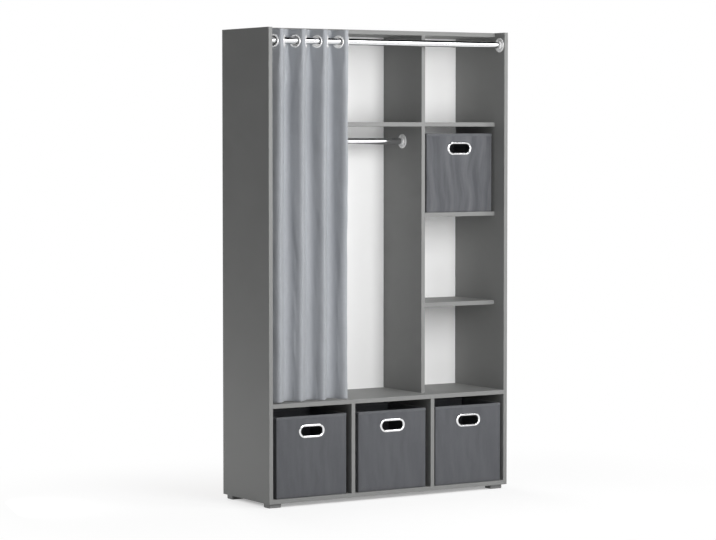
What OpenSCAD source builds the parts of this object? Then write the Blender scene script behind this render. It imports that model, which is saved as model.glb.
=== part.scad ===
// Open wardrobe and storage unit for a child's room: a boarded carcass with a hanging bay and a
// column of shelves, a gathered eyelet curtain on a front rod, and four foldable fabric bins.
// Millimetres. X runs along the width, Y from the front to the back, Z up.
// The origin is the centre of the footprint, on the floor.

/* [Carcass] */
// Width over the side panels
unit_w = 1058; // [1000:1:1200]
// Depth of the side panels
unit_d = 345; // [345:1:420]
// Height of the side panels, without the feet
side_h = 1737; // [1600:1:1900]
// Thickness of every grey board
board_t = 16; // [15:0.5:19]
// Radius of the banded front edges
edge_r = 1; // [0.5:0.1:2]
// Setback of the upper boards, which leaves room for the curtain
recess = 66; // [66:1:75]
// Clear height of the bottom row
low_bay_h = 334; // [312:1:380]
// Clear width of the right-hand bays
right_bay_w = 320; // [305:1:360]

/* [Back] */
// Thickness of the white back sheets
back_t = 3; // [2.5:0.5:4]
// Distance from the back sheets to the rear edges of the sides
back_edge = 9.5; // [8:0.5:14]
// Depth of the groove that holds the back sheets
groove_d = 6; // [4:0.5:8]
// Play of a back sheet in its groove, on each side
groove_play = 0.2; // [0.1:0.1:0.5]
// Largest distance between two back nails
nail_step = 160; // [120:10:200]

/* [Board fittings] */
// Distance of the first fitting from a front edge
first_row = 37; // [37:1:42]
// Step of the drilling rows
row_step = 32; // [32:1:34]
// Least distance of a fitting from the ends of a board
row_margin = 30; // [25:1:34]
// Distance of a cam disc from the end of its board
cam_setback = 34; // [34:1:38]
// Diameter of a cam disc
cam_d = 15; // [14:0.5:16]
// Height of a cam disc
cam_h = 12.4; // [11:0.1:12.5]
// Diameter of the thread of a cam bolt
bolt_thread_d = 5; // [4.5:0.1:6]
// Length of the thread of a cam bolt
bolt_thread_l = 10.5; // [8:0.5:11]
// Diameter of the dowels
dowel_d = 8; // [7:0.5:8]
// Length of the dowels
dowel_l = 30; // [26:1:32]
// Play of a fitting in its hole, on the radius
fit_play = 0.1; // [0.05:0.01:0.15]

/* [Feet] */
// Width of a foot
foot_w = 52; // [44:1:60]
// Depth of a foot
foot_d = 42; // [36:1:50]
// Height of a foot
foot_h = 17; // [12:1:25]
// Distance of the feet from the outer faces of the sides
foot_inset = 10; // [6:1:14]
// Distance of the front feet from the front edges
foot_front = 19; // [12:1:26]
// Distance of the rear feet from the rear edges
foot_rear = 10; // [6:1:20]

/* [Rods] */
// Outer diameter of both tubes
tube_d = 25; // [22:0.5:25]
// Wall of both tubes
tube_wall = 1; // [0.8:0.1:1.5]
// Distance of the curtain rod below the top of the sides
rod_drop = 47; // [44:1:60]
// Distance of the hanging rail below the wide shelf
rail_drop = 56; // [45:1:90]
// Diameter of a tube flange
flange_d = 55; // [50:1:56]
// Height of the collar that holds a tube
collar_h = 7; // [5:0.5:8]

/* [Curtain] */
// Number of eyelets
eyelets = 8; // [4:1:10]
// Distance between two eyelets along the rod, as gathered
eyelet_pitch = 46.25; // [44:0.25:50]
// Distance of the first eyelet from the left side panel
first_eyelet = 22; // [20:0.5:60]
// Angle between the cloth and the rod where a fold runs forwards
out_a = 62; // [58:0.5:64]
// Angle between the cloth and the rod where a fold runs back
back_a = 52; // [51:0.5:58]
// Straight length of cloth at an eyelet that runs forwards
flat_l = 49; // [48.5:0.5:51]
// Outer diameter of an eyelet
eyelet_d = 48; // [46:0.5:48]
// Bore of an eyelet
eyelet_bore = 36.5; // [36:0.25:37]
// Thickness of the stiff heading
heading_t = 2; // [1.5:0.1:2.5]
// Height of the stiff heading
heading_h = 85; // [80:1:120]
// Distance of the heading's top edge above the rod's axis
heading_rise = 45; // [35:1:46]
// Thickness of the cloth
cloth_t = 1.2; // [0.8:0.1:1.6]
// Depth of a fold at the hem, from the middle line
hem_fold = 20; // [12:0.5:26]
// Gap between the hem and the middle shelf
hem_gap = 4; // [2:0.5:30]

/* [Bins] */
// Gap at each side of a bin in the narrowest bay
bin_side_gap = 9; // [6:0.5:20]
// Gap above the upper bin
bin_top_gap = 26.75; // [15:0.25:45]
// Gap behind the upper bin
bin_back_gap = 3; // [2:0.5:10]
// Distance of a lower bin's front from the front edges
bin_setback = 7; // [5:0.5:12]
// Distance of the upper bin's front from the edge of its shelf
upper_bin_setback = 3.5; // [2:0.5:10]
// Thickness of one layer of the bin fabric
skin_t = 0.8; // [0.6:0.1:1.2]
// Thickness of the stiffening boards
stiff_t = 2.4; // [1.5:0.1:3]
// Thickness of the loose base board
base_t = 3; // [2:0.5:4]
// Height of the rim binding
bind_h = 10; // [8:1:14]
// Radius of the upright edges of a bin
bin_r = 3; // [2:0.5:5]
// Width of the opening in a handle ring
grip_w = 92; // [70:1:110]
// Height of the opening in a handle ring
grip_h = 32; // [26:0.5:36]
// Width of the rounded band round that opening
grip_band = 9.5; // [7:0.5:12]
// Distance of the middle of the handle below the rim
grip_drop = 57; // [45:1:80]

/* [Hidden] */

$fn = 48;

// Colours
grey = "#5f6160";
board_white = "#e8e8e8";
steel = "#b9bcc0";
chrome = "#dfe3e6";
curtain_grey = "#9396a0";
bin_grey = "#5f6166";
dark = "#3c3d3f";
beech = "#d9bc8c";

// Carcass: heights above the floor, distances from the front edges, and places across the width
front_y = -unit_d / 2;
back_y = unit_d - back_edge - back_t;
side_z = foot_h;
inner_w = unit_w - 2 * board_t;
inner_x = inner_w / 2;
floor_top = side_z + board_t;
middle_z = floor_top + low_bay_h;
middle_top = middle_z + board_t;
top_z = side_z + side_h - board_t;
left_bay_w = (inner_w - right_bay_w - 2 * board_t) / 2;
divider_left_x = -inner_x + left_bay_w;
divider_right_x = inner_x - right_bay_w - board_t;
column_x = divider_right_x + board_t;
joint_x = divider_right_x + board_t / 2;
sheet_x = inner_x + groove_d - groove_play;
// Four equal openings stand above each other in the right-hand column
column_openings = 4;
opening_h = (top_z - middle_top - (column_openings - 1) * board_t) / column_openings;
function shelf_z(n) = middle_top + n * opening_h + (n - 1) * board_t;
lower_shelf_z = shelf_z(1);
bin_shelf_z = shelf_z(2);
top_shelf_z = shelf_z(3);

// Cam fittings: a bolt stands in the face of one board and reaches a disc in the end of the other
channel_r = dowel_d / 2;
collar_l = 2;
neck_l = 6;
head_l = 5.5;
neck_r = 2;
head_r = 3.4;
shaft_r = 3;
disc_slot_r = neck_r + 0.3;
disc_cavity_r = head_r + 0.9;
disc_cavity_h = 2 * (head_r + 0.3);
drive_w = 1.4;
drive_l = 8;
drive_d = 2.5;
dowel_in_face = 9.5;
hole_extra = 0.5;
cut = 1;

// The bottom panel takes its fittings between the feet
foot_front_end = foot_front + foot_d;
foot_rear_start = unit_d - foot_rear - foot_d;
half_row = row_step / 2;
function rows(from, to, shift) =
  let (
    grid = first_row + shift,
    first = ceil((from + row_margin - grid) / row_step),
    last = floor((to - row_margin - grid) / row_step)
  )
  [grid + first * row_step, grid + last * row_step];
full_rows = rows(0, back_y, 0);
foot_rows = rows(foot_front_end - row_margin / 2, foot_rear_start + row_margin / 2, 0);
upper_rows = rows(recess, back_y, half_row);
column_rows = rows(recess, back_y, 0);

// A seam is [x, z, turn, rows]: it lies where a board's end meets a face. The turn takes +X into
// the board, and -Z to the side where the cam discs open.
to_right = [0, 0, 0];
to_left = [0, 0, 180];
to_up = [0, -90, 0];
to_down = [180, 90, 0];
half_t = board_t / 2;
function lying_seams(x_from, x_to, z, rows) = [
  [x_from, z + half_t, to_right, rows],
  [x_to, z + half_t, to_left, rows]
];
function standing_seams(x, z_from, z_to, rows) = [
  [x + half_t, z_from, to_up, rows],
  [x + half_t, z_to, to_down, rows]
];
bottom_seams = lying_seams(-inner_x, inner_x, side_z, foot_rows);
middle_seams = lying_seams(-inner_x, inner_x, middle_z, full_rows);
top_seams = lying_seams(-inner_x, inner_x, top_z, upper_rows);
wide_seams = lying_seams(-inner_x, divider_right_x, top_shelf_z, upper_rows);
function column_seams(z) = lying_seams(column_x, inner_x, z, column_rows);
tall_seams = standing_seams(divider_right_x, middle_top, top_z, upper_rows);
left_divider_seams = standing_seams(divider_left_x, floor_top, middle_z, full_rows);
right_divider_seams = standing_seams(divider_right_x, floor_top, middle_z, full_rows);
column_levels = [lower_shelf_z, bin_shelf_z, top_shelf_z];
column_left_seams = [for (z = column_levels) column_seams(z)[0]];
column_right_seams = [for (z = column_levels) column_seams(z)[1]];
all_seams = concat(
  bottom_seams, middle_seams, top_seams, wide_seams, tall_seams,
  left_divider_seams, right_divider_seams, column_left_seams, column_right_seams
);

// Nails go through the back sheets into the rear edges of the boards
nail_r = 0.8;
nail_l = 20;
nail_head_r = 1.8;
nail_head_t = 0.8;
nail_play = 0.05;
nail_off = 4;
nail_end = 60;
function steps(from, to) =
  let (count = ceil((to - from) / nail_step))
  [for (i = [0:count]) from + (to - from) * i / count];
left_xs = steps(-inner_x + nail_end, joint_x - nail_end);
right_xs = steps(joint_x + nail_end, inner_x - nail_end);
upper_zs = steps(middle_top + nail_end, top_z - nail_end);
lower_zs = steps(floor_top + nail_end, middle_z - nail_end);
nail_points = concat(
  [for (side = [-1, 1], z = concat(upper_zs, lower_zs)) [joint_x + side * nail_off, z]],
  [for (z = lower_zs) [divider_left_x + half_t, z]],
  [for (x = left_xs, z = [middle_z, top_shelf_z]) [x, z + half_t]],
  [for (x = right_xs, z = concat(column_levels, [middle_z])) [x, z + half_t]]
);

// Feet
foot_r = 4;
foot_chamfer = 1.5;
foot_screw_off = 12;
foot_screw_r = 1.9;
foot_screw_head_r = 4;
foot_screw_head_t = 2.4;
foot_bore_r = 4.6;
foot_bore_h = 7;
foot_screw_in = 11;
foot_centre_x = unit_w / 2 - foot_inset - foot_w / 2;
foot_screw_x = inner_x - (inner_x - (foot_centre_x - foot_w / 2)) / 2;
foot_ys = [foot_front + foot_d / 2, unit_d - foot_rear - foot_d / 2];

// Tubes and flanges: the rod runs in the middle of the recess, the rail in the middle of the shelf
tube_r = tube_d / 2;
rod_y = recess / 2;
rail_y = (recess + back_y) / 2;
rod_z = side_z + side_h - rod_drop;
rail_z = top_shelf_z - rail_drop;
flange_t = 1.6;
flange_bead = 1.6;
flange_play = 0.1;
collar_t = 1.5;
tube_play = 0.2;
flange_screw_r = 1.7;
flange_screw_head_r = 3.2;
flange_screw_head_t = 1.8;
flange_screw_in = 11;
flange_screw_pcr = 20;
flange_screws_n = 3;

// Curtain: the cloth runs in straight flanks through the eyelets, joined by round folds. A slanted
// eyelet meets the rod before its whole play is used up, so it hangs lower by half of that only.
eyelet_sag = (eyelet_bore - tube_d) / 8;
eyelet_z = rod_z - eyelet_sag;
eyelet_r = eyelet_d / 2;
eyelet_bore_r = eyelet_bore / 2;
eyelet_rise = 2.4;
barrel_t = 1.6;
barrel_end = 0.8;
back_ring_play = 0.05;
hem_tail = 2.5;
fold_lean = cos(back_a) - cos(out_a);
fold_r = (2 * eyelet_pitch - flat_l * (cos(out_a) + sin(out_a) / tan(back_a)))
  / (2 * (fold_lean / tan(back_a) + sin(out_a) + sin(back_a)));
back_l = (flat_l * sin(out_a) + 2 * fold_r * fold_lean) / sin(back_a);
fold_steps = 6;
first_x = -inner_x + first_eyelet;
curtain_y = front_y + rod_y;
heading_top = rod_z + heading_rise;
heading_z = heading_top - heading_h;
hem_z = middle_top + hem_gap;
cloth_rows = 10;
fold_settle = 0.45;
hem_drift = 3;
hem_sway = 0.18;

// Bins: all four are the same, and fill the smallest of their places
bin_w = min(left_bay_w, right_bay_w) - 2 * bin_side_gap;
bin_d = back_y - recess - upper_bin_setback - bin_back_gap;
bin_h = min(low_bay_h, opening_h) - bin_top_gap;
wall_t = 2 * skin_t + stiff_t;
bind_t = skin_t;
cover_w = bin_w - 2 * bind_t;
cover_d = bin_d - 2 * bind_t;
cover_h = bin_h - bind_t;
stiff_play = 0.1;
shelf_play = 0.3;
base_play = 1;
grip_half = (grip_w - grip_h) / 2;
grip_r = grip_h / 2;
grip_z = bin_h - grip_drop;
grip_barrel_t = 1.5;
grip_play = 0.1;
grip_rise = 4;
grip_back_rise = 2.5;
lower_bin_z = floor_top + shelf_play;
upper_bin_z = bin_shelf_z + board_t + shelf_play;
bin_left = [-inner_x + left_bay_w / 2, bin_setback, lower_bin_z];
bin_middle = [divider_left_x + board_t + left_bay_w / 2, bin_setback, lower_bin_z];
bin_right = [inner_x - right_bay_w / 2, bin_setback, lower_bin_z];
bin_upper = [inner_x - right_bay_w / 2, recess + upper_bin_setback, upper_bin_z];

function arc(cx, cy, r, from, to, count) =
  [for (i = [0:count]) let (a = from + (to - from) * i / count) [cx + r * cos(a), cy + r * sin(a)]];

module rounded_rect(w, d, r) {
  polygon(concat(
    arc(w / 2 - r, d / 2 - r, r, 0, 90, 5),
    arc(-w / 2 + r, d / 2 - r, r, 90, 180, 5),
    arc(-w / 2 + r, -d / 2 + r, r, 180, 270, 5),
    arc(w / 2 - r, -d / 2 + r, r, 270, 360, 5)
  ));
}

// A board's section, with its front edge at the origin and both front corners rounded
module board_section(depth) {
  polygon(concat(
    arc(edge_r, edge_r, edge_r, 270, 180, 4),
    arc(edge_r, board_t - edge_r, edge_r, 180, 90, 4),
    [[depth, board_t], [depth, 0]]
  ));
}

module lying_board(x_from, x_to, z, y_from, y_to) {
  translate([x_from, front_y + y_from, z])
    rotate([90, 0, 90]) linear_extrude(x_to - x_from) board_section(y_to - y_from);
}

module standing_board(x, z_from, z_to, y_from, y_to) {
  translate([x + board_t, front_y + y_from, z_from])
    rotate([0, 0, 90]) linear_extrude(z_to - z_from) board_section(y_to - y_from);
}

// A cylinder along +X
module rod_x(r, from, to) {
  translate([from, 0, 0]) rotate([0, 90, 0]) cylinder(r = r, h = to - from);
}

module at_row(seam, y) {
  translate([seam[0], front_y + y, seam[1]]) rotate(seam[2]) children();
}

function dowel_rows(seam) = [seam[3][0] + row_step, seam[3][1] - row_step];

// Holes in the end of the board that a seam carries
module end_holes(seams) {
  for (seam = seams) {
    for (y = seam[3])
      at_row(seam, y) {
        rod_x(channel_r, -cut, cam_setback);
        translate([cam_setback, 0, -half_t - cut]) cylinder(d = cam_d, h = cam_h + fit_play + cut);
      }
    for (y = dowel_rows(seam))
      at_row(seam, y) rod_x(dowel_d / 2, -cut, dowel_l - dowel_in_face + hole_extra);
  }
}

// Holes in the face that the board stands against
module face_holes(seams) {
  for (seam = seams) {
    for (y = seam[3])
      at_row(seam, y) rod_x(bolt_thread_d / 2, -bolt_thread_l - hole_extra, cut);
    for (y = dowel_rows(seam))
      at_row(seam, y) rod_x(dowel_d / 2, -dowel_in_face - hole_extra, cut);
  }
}

// Pilot holes for the nails that meet a rear edge between these limits
module nail_holes(x_from, x_to, z_from, z_to) {
  for (p = nail_points)
    if (p[0] > x_from && p[0] < x_to && p[1] > z_from && p[1] < z_to)
      at_nail(p) translate([0, 0, -cut])
        cylinder(r = nail_r + nail_play, h = nail_l + hole_extra + cut, $fn = 16);
}

// A nail's place on the back of a sheet, with +Z forwards
module at_nail(p) {
  translate([p[0], front_y + back_y + back_t, p[1]]) rotate([90, 0, 0]) children();
}

module side_groove(x) {
  translate([x, front_y + back_y, floor_top - groove_d])
    cube([groove_d, back_t, top_z - floor_top + 2 * groove_d]);
}

module flange_screw_places() {
  for (i = [0:flange_screws_n - 1])
    rotate([90 + 360 * i / flange_screws_n, 0, 0]) translate([0, flange_screw_pcr, 0]) children();
}

module flange_screw_holes() {
  flange_screw_places() rod_x(flange_screw_r, -flange_screw_in - hole_extra, cut);
}

// The ends of the curtain rod and of the hanging rail, each with +X into the bay
module rod_ends() {
  translate([-inner_x, curtain_y, rod_z]) children();
  translate([inner_x, curtain_y, rod_z]) rotate([0, 0, 180]) children();
}

module rail_end_left() {
  translate([-inner_x, front_y + rail_y, rail_z]) children();
}

module rail_end_right() {
  translate([divider_right_x, front_y + rail_y, rail_z]) rotate([0, 0, 180]) children();
}

module left_side() {
  color(grey)
    difference() {
      standing_board(-unit_w / 2, side_z, side_z + side_h, 0, unit_d);
      face_holes([bottom_seams[0], middle_seams[0], top_seams[0], wide_seams[0]]);
      side_groove(-inner_x - groove_d);
      rod_ends() flange_screw_holes();
      rail_end_left() flange_screw_holes();
    }
}

module right_side() {
  color(grey)
    difference() {
      standing_board(inner_x, side_z, side_z + side_h, 0, unit_d);
      face_holes(concat([bottom_seams[1], middle_seams[1], top_seams[1]], column_right_seams));
      side_groove(inner_x);
      rod_ends() flange_screw_holes();
    }
}

module top_panel() {
  color(grey)
    difference() {
      lying_board(-inner_x, inner_x, top_z, recess, unit_d);
      end_holes(top_seams);
      face_holes([tall_seams[1]]);
      translate([-inner_x - cut, front_y + back_y, top_z - cut])
        cube([inner_w + 2 * cut, back_t, groove_d + cut]);
    }
}

module bottom_panel() {
  color(grey)
    difference() {
      lying_board(-inner_x, inner_x, side_z, 0, unit_d);
      end_holes(bottom_seams);
      face_holes([left_divider_seams[0], right_divider_seams[0]]);
      translate([-inner_x - cut, front_y + back_y, floor_top - groove_d])
        cube([inner_w + 2 * cut, back_t, groove_d + cut]);
      foot_screw_places() translate([0, 0, -cut])
        cylinder(r = foot_screw_r, h = foot_screw_in + hole_extra + cut);
    }
}

module middle_shelf() {
  color(grey)
    difference() {
      lying_board(-inner_x, inner_x, middle_z, 0, back_y);
      end_holes(middle_seams);
      face_holes([left_divider_seams[1], right_divider_seams[1], tall_seams[0]]);
      nail_holes(-inner_x, inner_x, middle_z, middle_top);
    }
}

module tall_divider() {
  color(grey)
    difference() {
      standing_board(divider_right_x, middle_top, top_z, recess, back_y);
      end_holes(tall_seams);
      face_holes(concat([wide_seams[1]], column_left_seams));
      rail_end_right() flange_screw_holes();
      nail_holes(divider_right_x, column_x, middle_top, top_z);
    }
}

module lower_divider(x, seams) {
  color(grey)
    difference() {
      standing_board(x, floor_top, middle_z, 0, back_y);
      end_holes(seams);
      nail_holes(x, x + board_t, floor_top, middle_z);
    }
}

module wide_top_shelf() {
  color(grey)
    difference() {
      lying_board(-inner_x, divider_right_x, top_shelf_z, recess, back_y);
      end_holes(wide_seams);
      nail_holes(-inner_x, divider_right_x, top_shelf_z, top_shelf_z + board_t);
    }
}

module column_shelf(z) {
  color(grey)
    difference() {
      lying_board(column_x, inner_x, z, recess, back_y);
      end_holes(column_seams(z));
      nail_holes(column_x, inner_x, z, z + board_t);
    }
}

// One back sheet. It stands in the grooves on three sides and ends behind the tall divider.
module back_sheet(x_from, x_to) {
  color(board_white)
    difference() {
      translate([x_from, front_y + back_y, floor_top - groove_d + groove_play])
        cube([x_to - x_from, back_t, top_z - floor_top + 2 * (groove_d - groove_play)]);
      nail_holes(x_from, x_to, floor_top, top_z);
    }
}

module back_nails() {
  color(steel)
    for (p = nail_points)
      at_nail(p) {
        cylinder(r = nail_r, h = nail_l, $fn = 16);
        translate([0, 0, -nail_head_t]) cylinder(r = nail_head_r, h = nail_head_t, $fn = 16);
      }
}

module dowels() {
  chamfer = 1;
  r = dowel_d / 2 - fit_play;
  color(beech)
    for (seam = all_seams, y = dowel_rows(seam))
      at_row(seam, y) translate([-dowel_in_face, 0, 0]) rotate([0, 90, 0])
        rotate_extrude() polygon([
          [0, 0], [r - chamfer, 0], [r, chamfer],
          [r, dowel_l - chamfer], [r - chamfer, dowel_l], [0, dowel_l]
        ]);
}

// The bolt's head lies in the middle of its disc
module cam_bolts() {
  head_start = cam_setback - head_l / 2;
  color(steel)
    for (seam = all_seams, y = seam[3])
      at_row(seam, y) rotate([0, 90, 0])
        rotate_extrude() polygon([
          [0, -bolt_thread_l], [bolt_thread_d / 2 - fit_play - 1, -bolt_thread_l],
          [bolt_thread_d / 2 - fit_play, 1 - bolt_thread_l], [bolt_thread_d / 2 - fit_play, 0],
          [channel_r - fit_play, 0], [channel_r - fit_play, collar_l], [shaft_r, collar_l + 0.5],
          [shaft_r, head_start - neck_l], [neck_r, head_start - neck_l + 1], [neck_r, head_start],
          [head_r, head_start + 0.8], [head_r, head_start + head_l - 1.6],
          [head_r - 1.6, head_start + head_l], [0, head_start + head_l]
        ]);
}

module cam_disc() {
  difference() {
    translate([0, 0, -half_t]) cylinder(d = cam_d - 2 * fit_play, h = cam_h);
    // The cavity for the bolt's head, and the slot for its neck
    translate([0, 0, -disc_cavity_h / 2]) cylinder(r = disc_cavity_r, h = disc_cavity_h);
    translate([-cam_d, -disc_slot_r, -disc_slot_r]) cube([cam_d, 2 * disc_slot_r, 2 * disc_slot_r]);
    // The cross that turns the disc
    for (turn = [45, 135])
      rotate([0, 0, turn]) translate([-drive_l / 2, -drive_w / 2, -half_t - cut])
        cube([drive_l, drive_w, drive_d + cut]);
  }
}

module cam_discs() {
  color(steel)
    for (seam = all_seams, y = seam[3])
      at_row(seam, y) translate([cam_setback, 0, 0]) cam_disc();
}

module foot_places() {
  for (side = [-1, 1], y = foot_ys) translate([side * foot_centre_x, front_y + y, 0]) children();
}

// The screws of the feet enter the bottom panel, and each place has its origin on the underside
module foot_screw_places() {
  for (side = [-1, 1], y = foot_ys, off = [-1, 1])
    translate([side * foot_screw_x + off * foot_screw_off, front_y + y, side_z]) children();
}

module feet() {
  color(dark)
    difference() {
      foot_places() {
        translate([0, 0, foot_chamfer])
          linear_extrude(foot_h - foot_chamfer) rounded_rect(foot_w, foot_d, foot_r);
        translate([0, 0, foot_chamfer / 2])
          linear_extrude(foot_chamfer / 2) rounded_rect(foot_w - foot_chamfer, foot_d - foot_chamfer, foot_r);
        linear_extrude(foot_chamfer / 2)
          rounded_rect(foot_w - 2 * foot_chamfer, foot_d - 2 * foot_chamfer, foot_r);
      }
      foot_screw_places() translate([0, 0, -foot_h - cut]) {
        cylinder(r = foot_screw_r + fit_play, h = foot_h + 2 * cut);
        cylinder(r = foot_bore_r, h = foot_bore_h + cut);
      }
    }
}

module foot_screws() {
  color(steel)
    foot_screw_places() {
      translate([0, 0, foot_bore_h - foot_h])
        cylinder(r = foot_screw_r - fit_play, h = foot_h - foot_bore_h + foot_screw_in);
      translate([0, 0, foot_bore_h - foot_h - foot_screw_head_t])
        cylinder(r1 = foot_screw_head_r - 0.8, r2 = foot_screw_head_r, h = foot_screw_head_t);
    }
}

module tube(from, to) {
  difference() {
    rod_x(tube_r, from, to);
    rod_x(tube_r - tube_wall, from - cut, to + cut);
  }
}

module curtain_rod() {
  end = inner_x - flange_t - tube_play;
  color(chrome) translate([0, curtain_y, rod_z]) tube(-end, end);
}

module hanging_rail() {
  color(chrome)
    translate([0, front_y + rail_y, rail_z])
      tube(-inner_x + flange_t + tube_play, divider_right_x - flange_t - tube_play);
}

// A dished disc with a rolled rim, and a collar that holds the tube
module flange() {
  collar_in = tube_r + flange_play;
  collar_out = collar_in + collar_t;
  flange_r = flange_d / 2;
  difference() {
    rotate([0, 90, 0]) rotate_extrude() polygon(concat(
      [[0, 0], [flange_r, 0]],
      arc(flange_r - flange_bead, flange_t, flange_bead, 0, 180, 8),
      [
        [collar_out + 0.8, flange_t], [collar_out, flange_t + 0.8], [collar_out, collar_h - 0.6],
        [collar_out - 0.6, collar_h], [collar_in, collar_h], [collar_in, flange_t], [0, flange_t]
      ]
    ));
    flange_screw_places() rod_x(flange_screw_r + fit_play, -cut, flange_t + cut);
  }
}

module flange_screw() {
  rod_x(flange_screw_r - fit_play, -flange_screw_in, flange_t);
  translate([flange_t, 0, 0]) rotate([0, 90, 0]) rotate_extrude() polygon(concat(
    [[0, 0], [flange_screw_head_r, 0]],
    [for (i = [1:4]) let (a = 22.5 * i) [flange_screw_head_r * cos(a), flange_screw_head_t * sin(a)]]
  ));
}

module rod_flanges() {
  color(chrome) rod_ends() flange();
}

module rail_flanges() {
  color(chrome) {
    rail_end_left() flange();
    rail_end_right() flange();
  }
}

module flange_screws() {
  color(steel) {
    rod_ends() flange_screw_places() flange_screw();
    rail_end_left() flange_screw_places() flange_screw();
    rail_end_right() flange_screw_places() flange_screw();
  }
}

// The middle line of the cloth at the rod, seen from above. Even flanks run forwards, and the
// free end of the cloth turns back as steeply as they do.
end_step = flat_l * cos(out_a) + 2 * fold_r * sin(out_a);
function is_even(k) = k % 2 == 0;
function is_end(k) = k == eyelets - 1 && !is_even(k);
function eyelet_x(k) = first_x + (is_end(k) ? (k - 1) * eyelet_pitch + end_step : k * eyelet_pitch);
function flank_a(k) = is_even(k) ? -out_a : is_end(k) ? out_a : back_a;
function flank_l(k) = is_even(k) || is_end(k) ? flat_l : back_l;
function flank_point(k, along) =
  [eyelet_x(k) + along * cos(flank_a(k)), curtain_y + along * sin(flank_a(k))];
function fold_point(k, t) =
  let (
    from = flank_a(k),
    a = from + (flank_a(k + 1) - from) * t,
    turn = is_even(k) ? 1 : -1
  )
  flank_point(k, flank_l(k) / 2) + turn * fold_r * [sin(a) - sin(from), cos(from) - cos(a)];
tail_l = eyelet_r + hem_tail;
gathered = concat(
  [flank_point(0, -tail_l)],
  [for (k = [0:eyelets - 2], i = [0:fold_steps]) fold_point(k, i / fold_steps)],
  [flank_point(eyelets - 1, tail_l)]
);

// Lower down the folds turn into an even wave, and each one sways a little by itself
function ease(t) = t <= 0 ? 0 : t >= 1 ? 1 : t * t * (3 - 2 * t);
function wave_y(x, depth) = curtain_y - depth * sin(180 * (x - first_x) / eyelet_pitch);
function hem_depth(x) = hem_fold * (1 + hem_sway * sin(1.7 * (x - first_x)));
function hung(p, t) = [
  p[0] + hem_drift * ease(t) * sin(2.3 * (p[0] - first_x)),
  p[1] + (wave_y(p[0], hem_depth(p[0])) - p[1]) * ease(t / fold_settle)
];

// Both faces of a cloth of some thickness, along its middle line and back again
function unit(v) = v / norm(v);
function side_step(line, i) =
  let (last = len(line) - 1, v = unit(line[min(i + 1, last)] - line[max(i - 1, 0)])) [-v[1], v[0]];
function outline(line, t) = concat(
  [for (i = [0:len(line) - 1]) line[i] - side_step(line, i) * t / 2],
  [for (i = [len(line) - 1:-1:0]) line[i] + side_step(line, i) * t / 2]
);

module at_eyelet(k) {
  translate([eyelet_x(k), curtain_y, eyelet_z])
    rotate([0, 0, flank_a(k) - 90]) children();
}

module curtain_heading() {
  color(curtain_grey)
    difference() {
      translate([0, 0, heading_z]) linear_extrude(heading_h) polygon(outline(gathered, heading_t));
      for (k = [0:eyelets - 1])
        at_eyelet(k) rod_x(eyelet_bore_r + barrel_t + fit_play, -eyelet_r / 2, eyelet_r / 2);
    }
}

module curtain_cloth() {
  n = 2 * len(gathered);
  half = len(gathered);
  points = [
    for (row = [0:cloth_rows])
      let (t = row / cloth_rows, z = heading_z + (hem_z - heading_z) * t)
        for (p = outline([for (q = gathered) hung(q, t)], cloth_t)) [p[0], p[1], z]
  ];
  walls = [
    for (row = [0:cloth_rows - 1], i = [0:n - 1])
      let (a = row * n + i, b = row * n + (i + 1) % n)
        each [[a, b, b + n], [a, b + n, a + n]]
  ];
  caps = [
    for (end = [0, cloth_rows], i = [0:half - 2])
      let (a = end * n + i, b = a + 1, c = end * n + n - 2 - i, d = c + 1)
        each end == 0 ? [[a, d, c], [a, c, b]] : [[a, c, d], [a, b, c]]
  ];
  color(curtain_grey) polyhedron(points, concat(walls, caps));
}

// Half of an eyelet's rounded ring, from the cloth outwards
function ring_half(r_in, r_out, rise) =
  let (mid = (r_in + r_out) / 2, half = (r_out - r_in) / 2)
  [for (i = [0:8]) let (a = 22.5 * i) [mid + half * cos(a), heading_t / 2 + rise * sin(a)]];

// The front half carries the barrel, and the back half is pressed over it
module eyelet_fronts() {
  barrel_z = -heading_t / 2 - barrel_end;
  barrel_round = 0.4;
  color(chrome)
    for (k = [0:eyelets - 1])
      at_eyelet(k) rotate([0, 90, 0]) rotate_extrude() polygon(concat(
        ring_half(eyelet_bore_r, eyelet_r, eyelet_rise),
        [
          [eyelet_bore_r, barrel_z + barrel_round], [eyelet_bore_r + barrel_round, barrel_z],
          [eyelet_bore_r + barrel_t, barrel_z], [eyelet_bore_r + barrel_t, heading_t / 2]
        ]
      ));
}

module eyelet_backs() {
  color(chrome)
    for (k = [0:eyelets - 1])
      at_eyelet(k) rotate([0, -90, 0]) rotate_extrude()
        polygon(ring_half(eyelet_bore_r + barrel_t + back_ring_play, eyelet_r, eyelet_rise));
}

// A bin stands with the middle of its front lower edge at its place
module at_bin(place) {
  translate([place[0], front_y + place[1], place[2]]) children();
}

module bin_block(w, d, r, z_from, z_to) {
  translate([0, bin_d / 2, z_from]) linear_extrude(z_to - z_from) rounded_rect(w, d, r);
}

module grip_hole() {
  grow = grip_barrel_t + grip_play;
  translate([0, 0, grip_z]) {
    for (side = [-1, 1])
      translate([side * grip_half, bin_d / 3, 0]) rotate([90, 0, 0])
        cylinder(r = grip_r + grow, h = bin_d / 2);
    translate([-grip_half, -bin_d / 6, -grip_r - grow]) cube([2 * grip_half, bin_d / 2, 2 * (grip_r + grow)]);
  }
}

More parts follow.
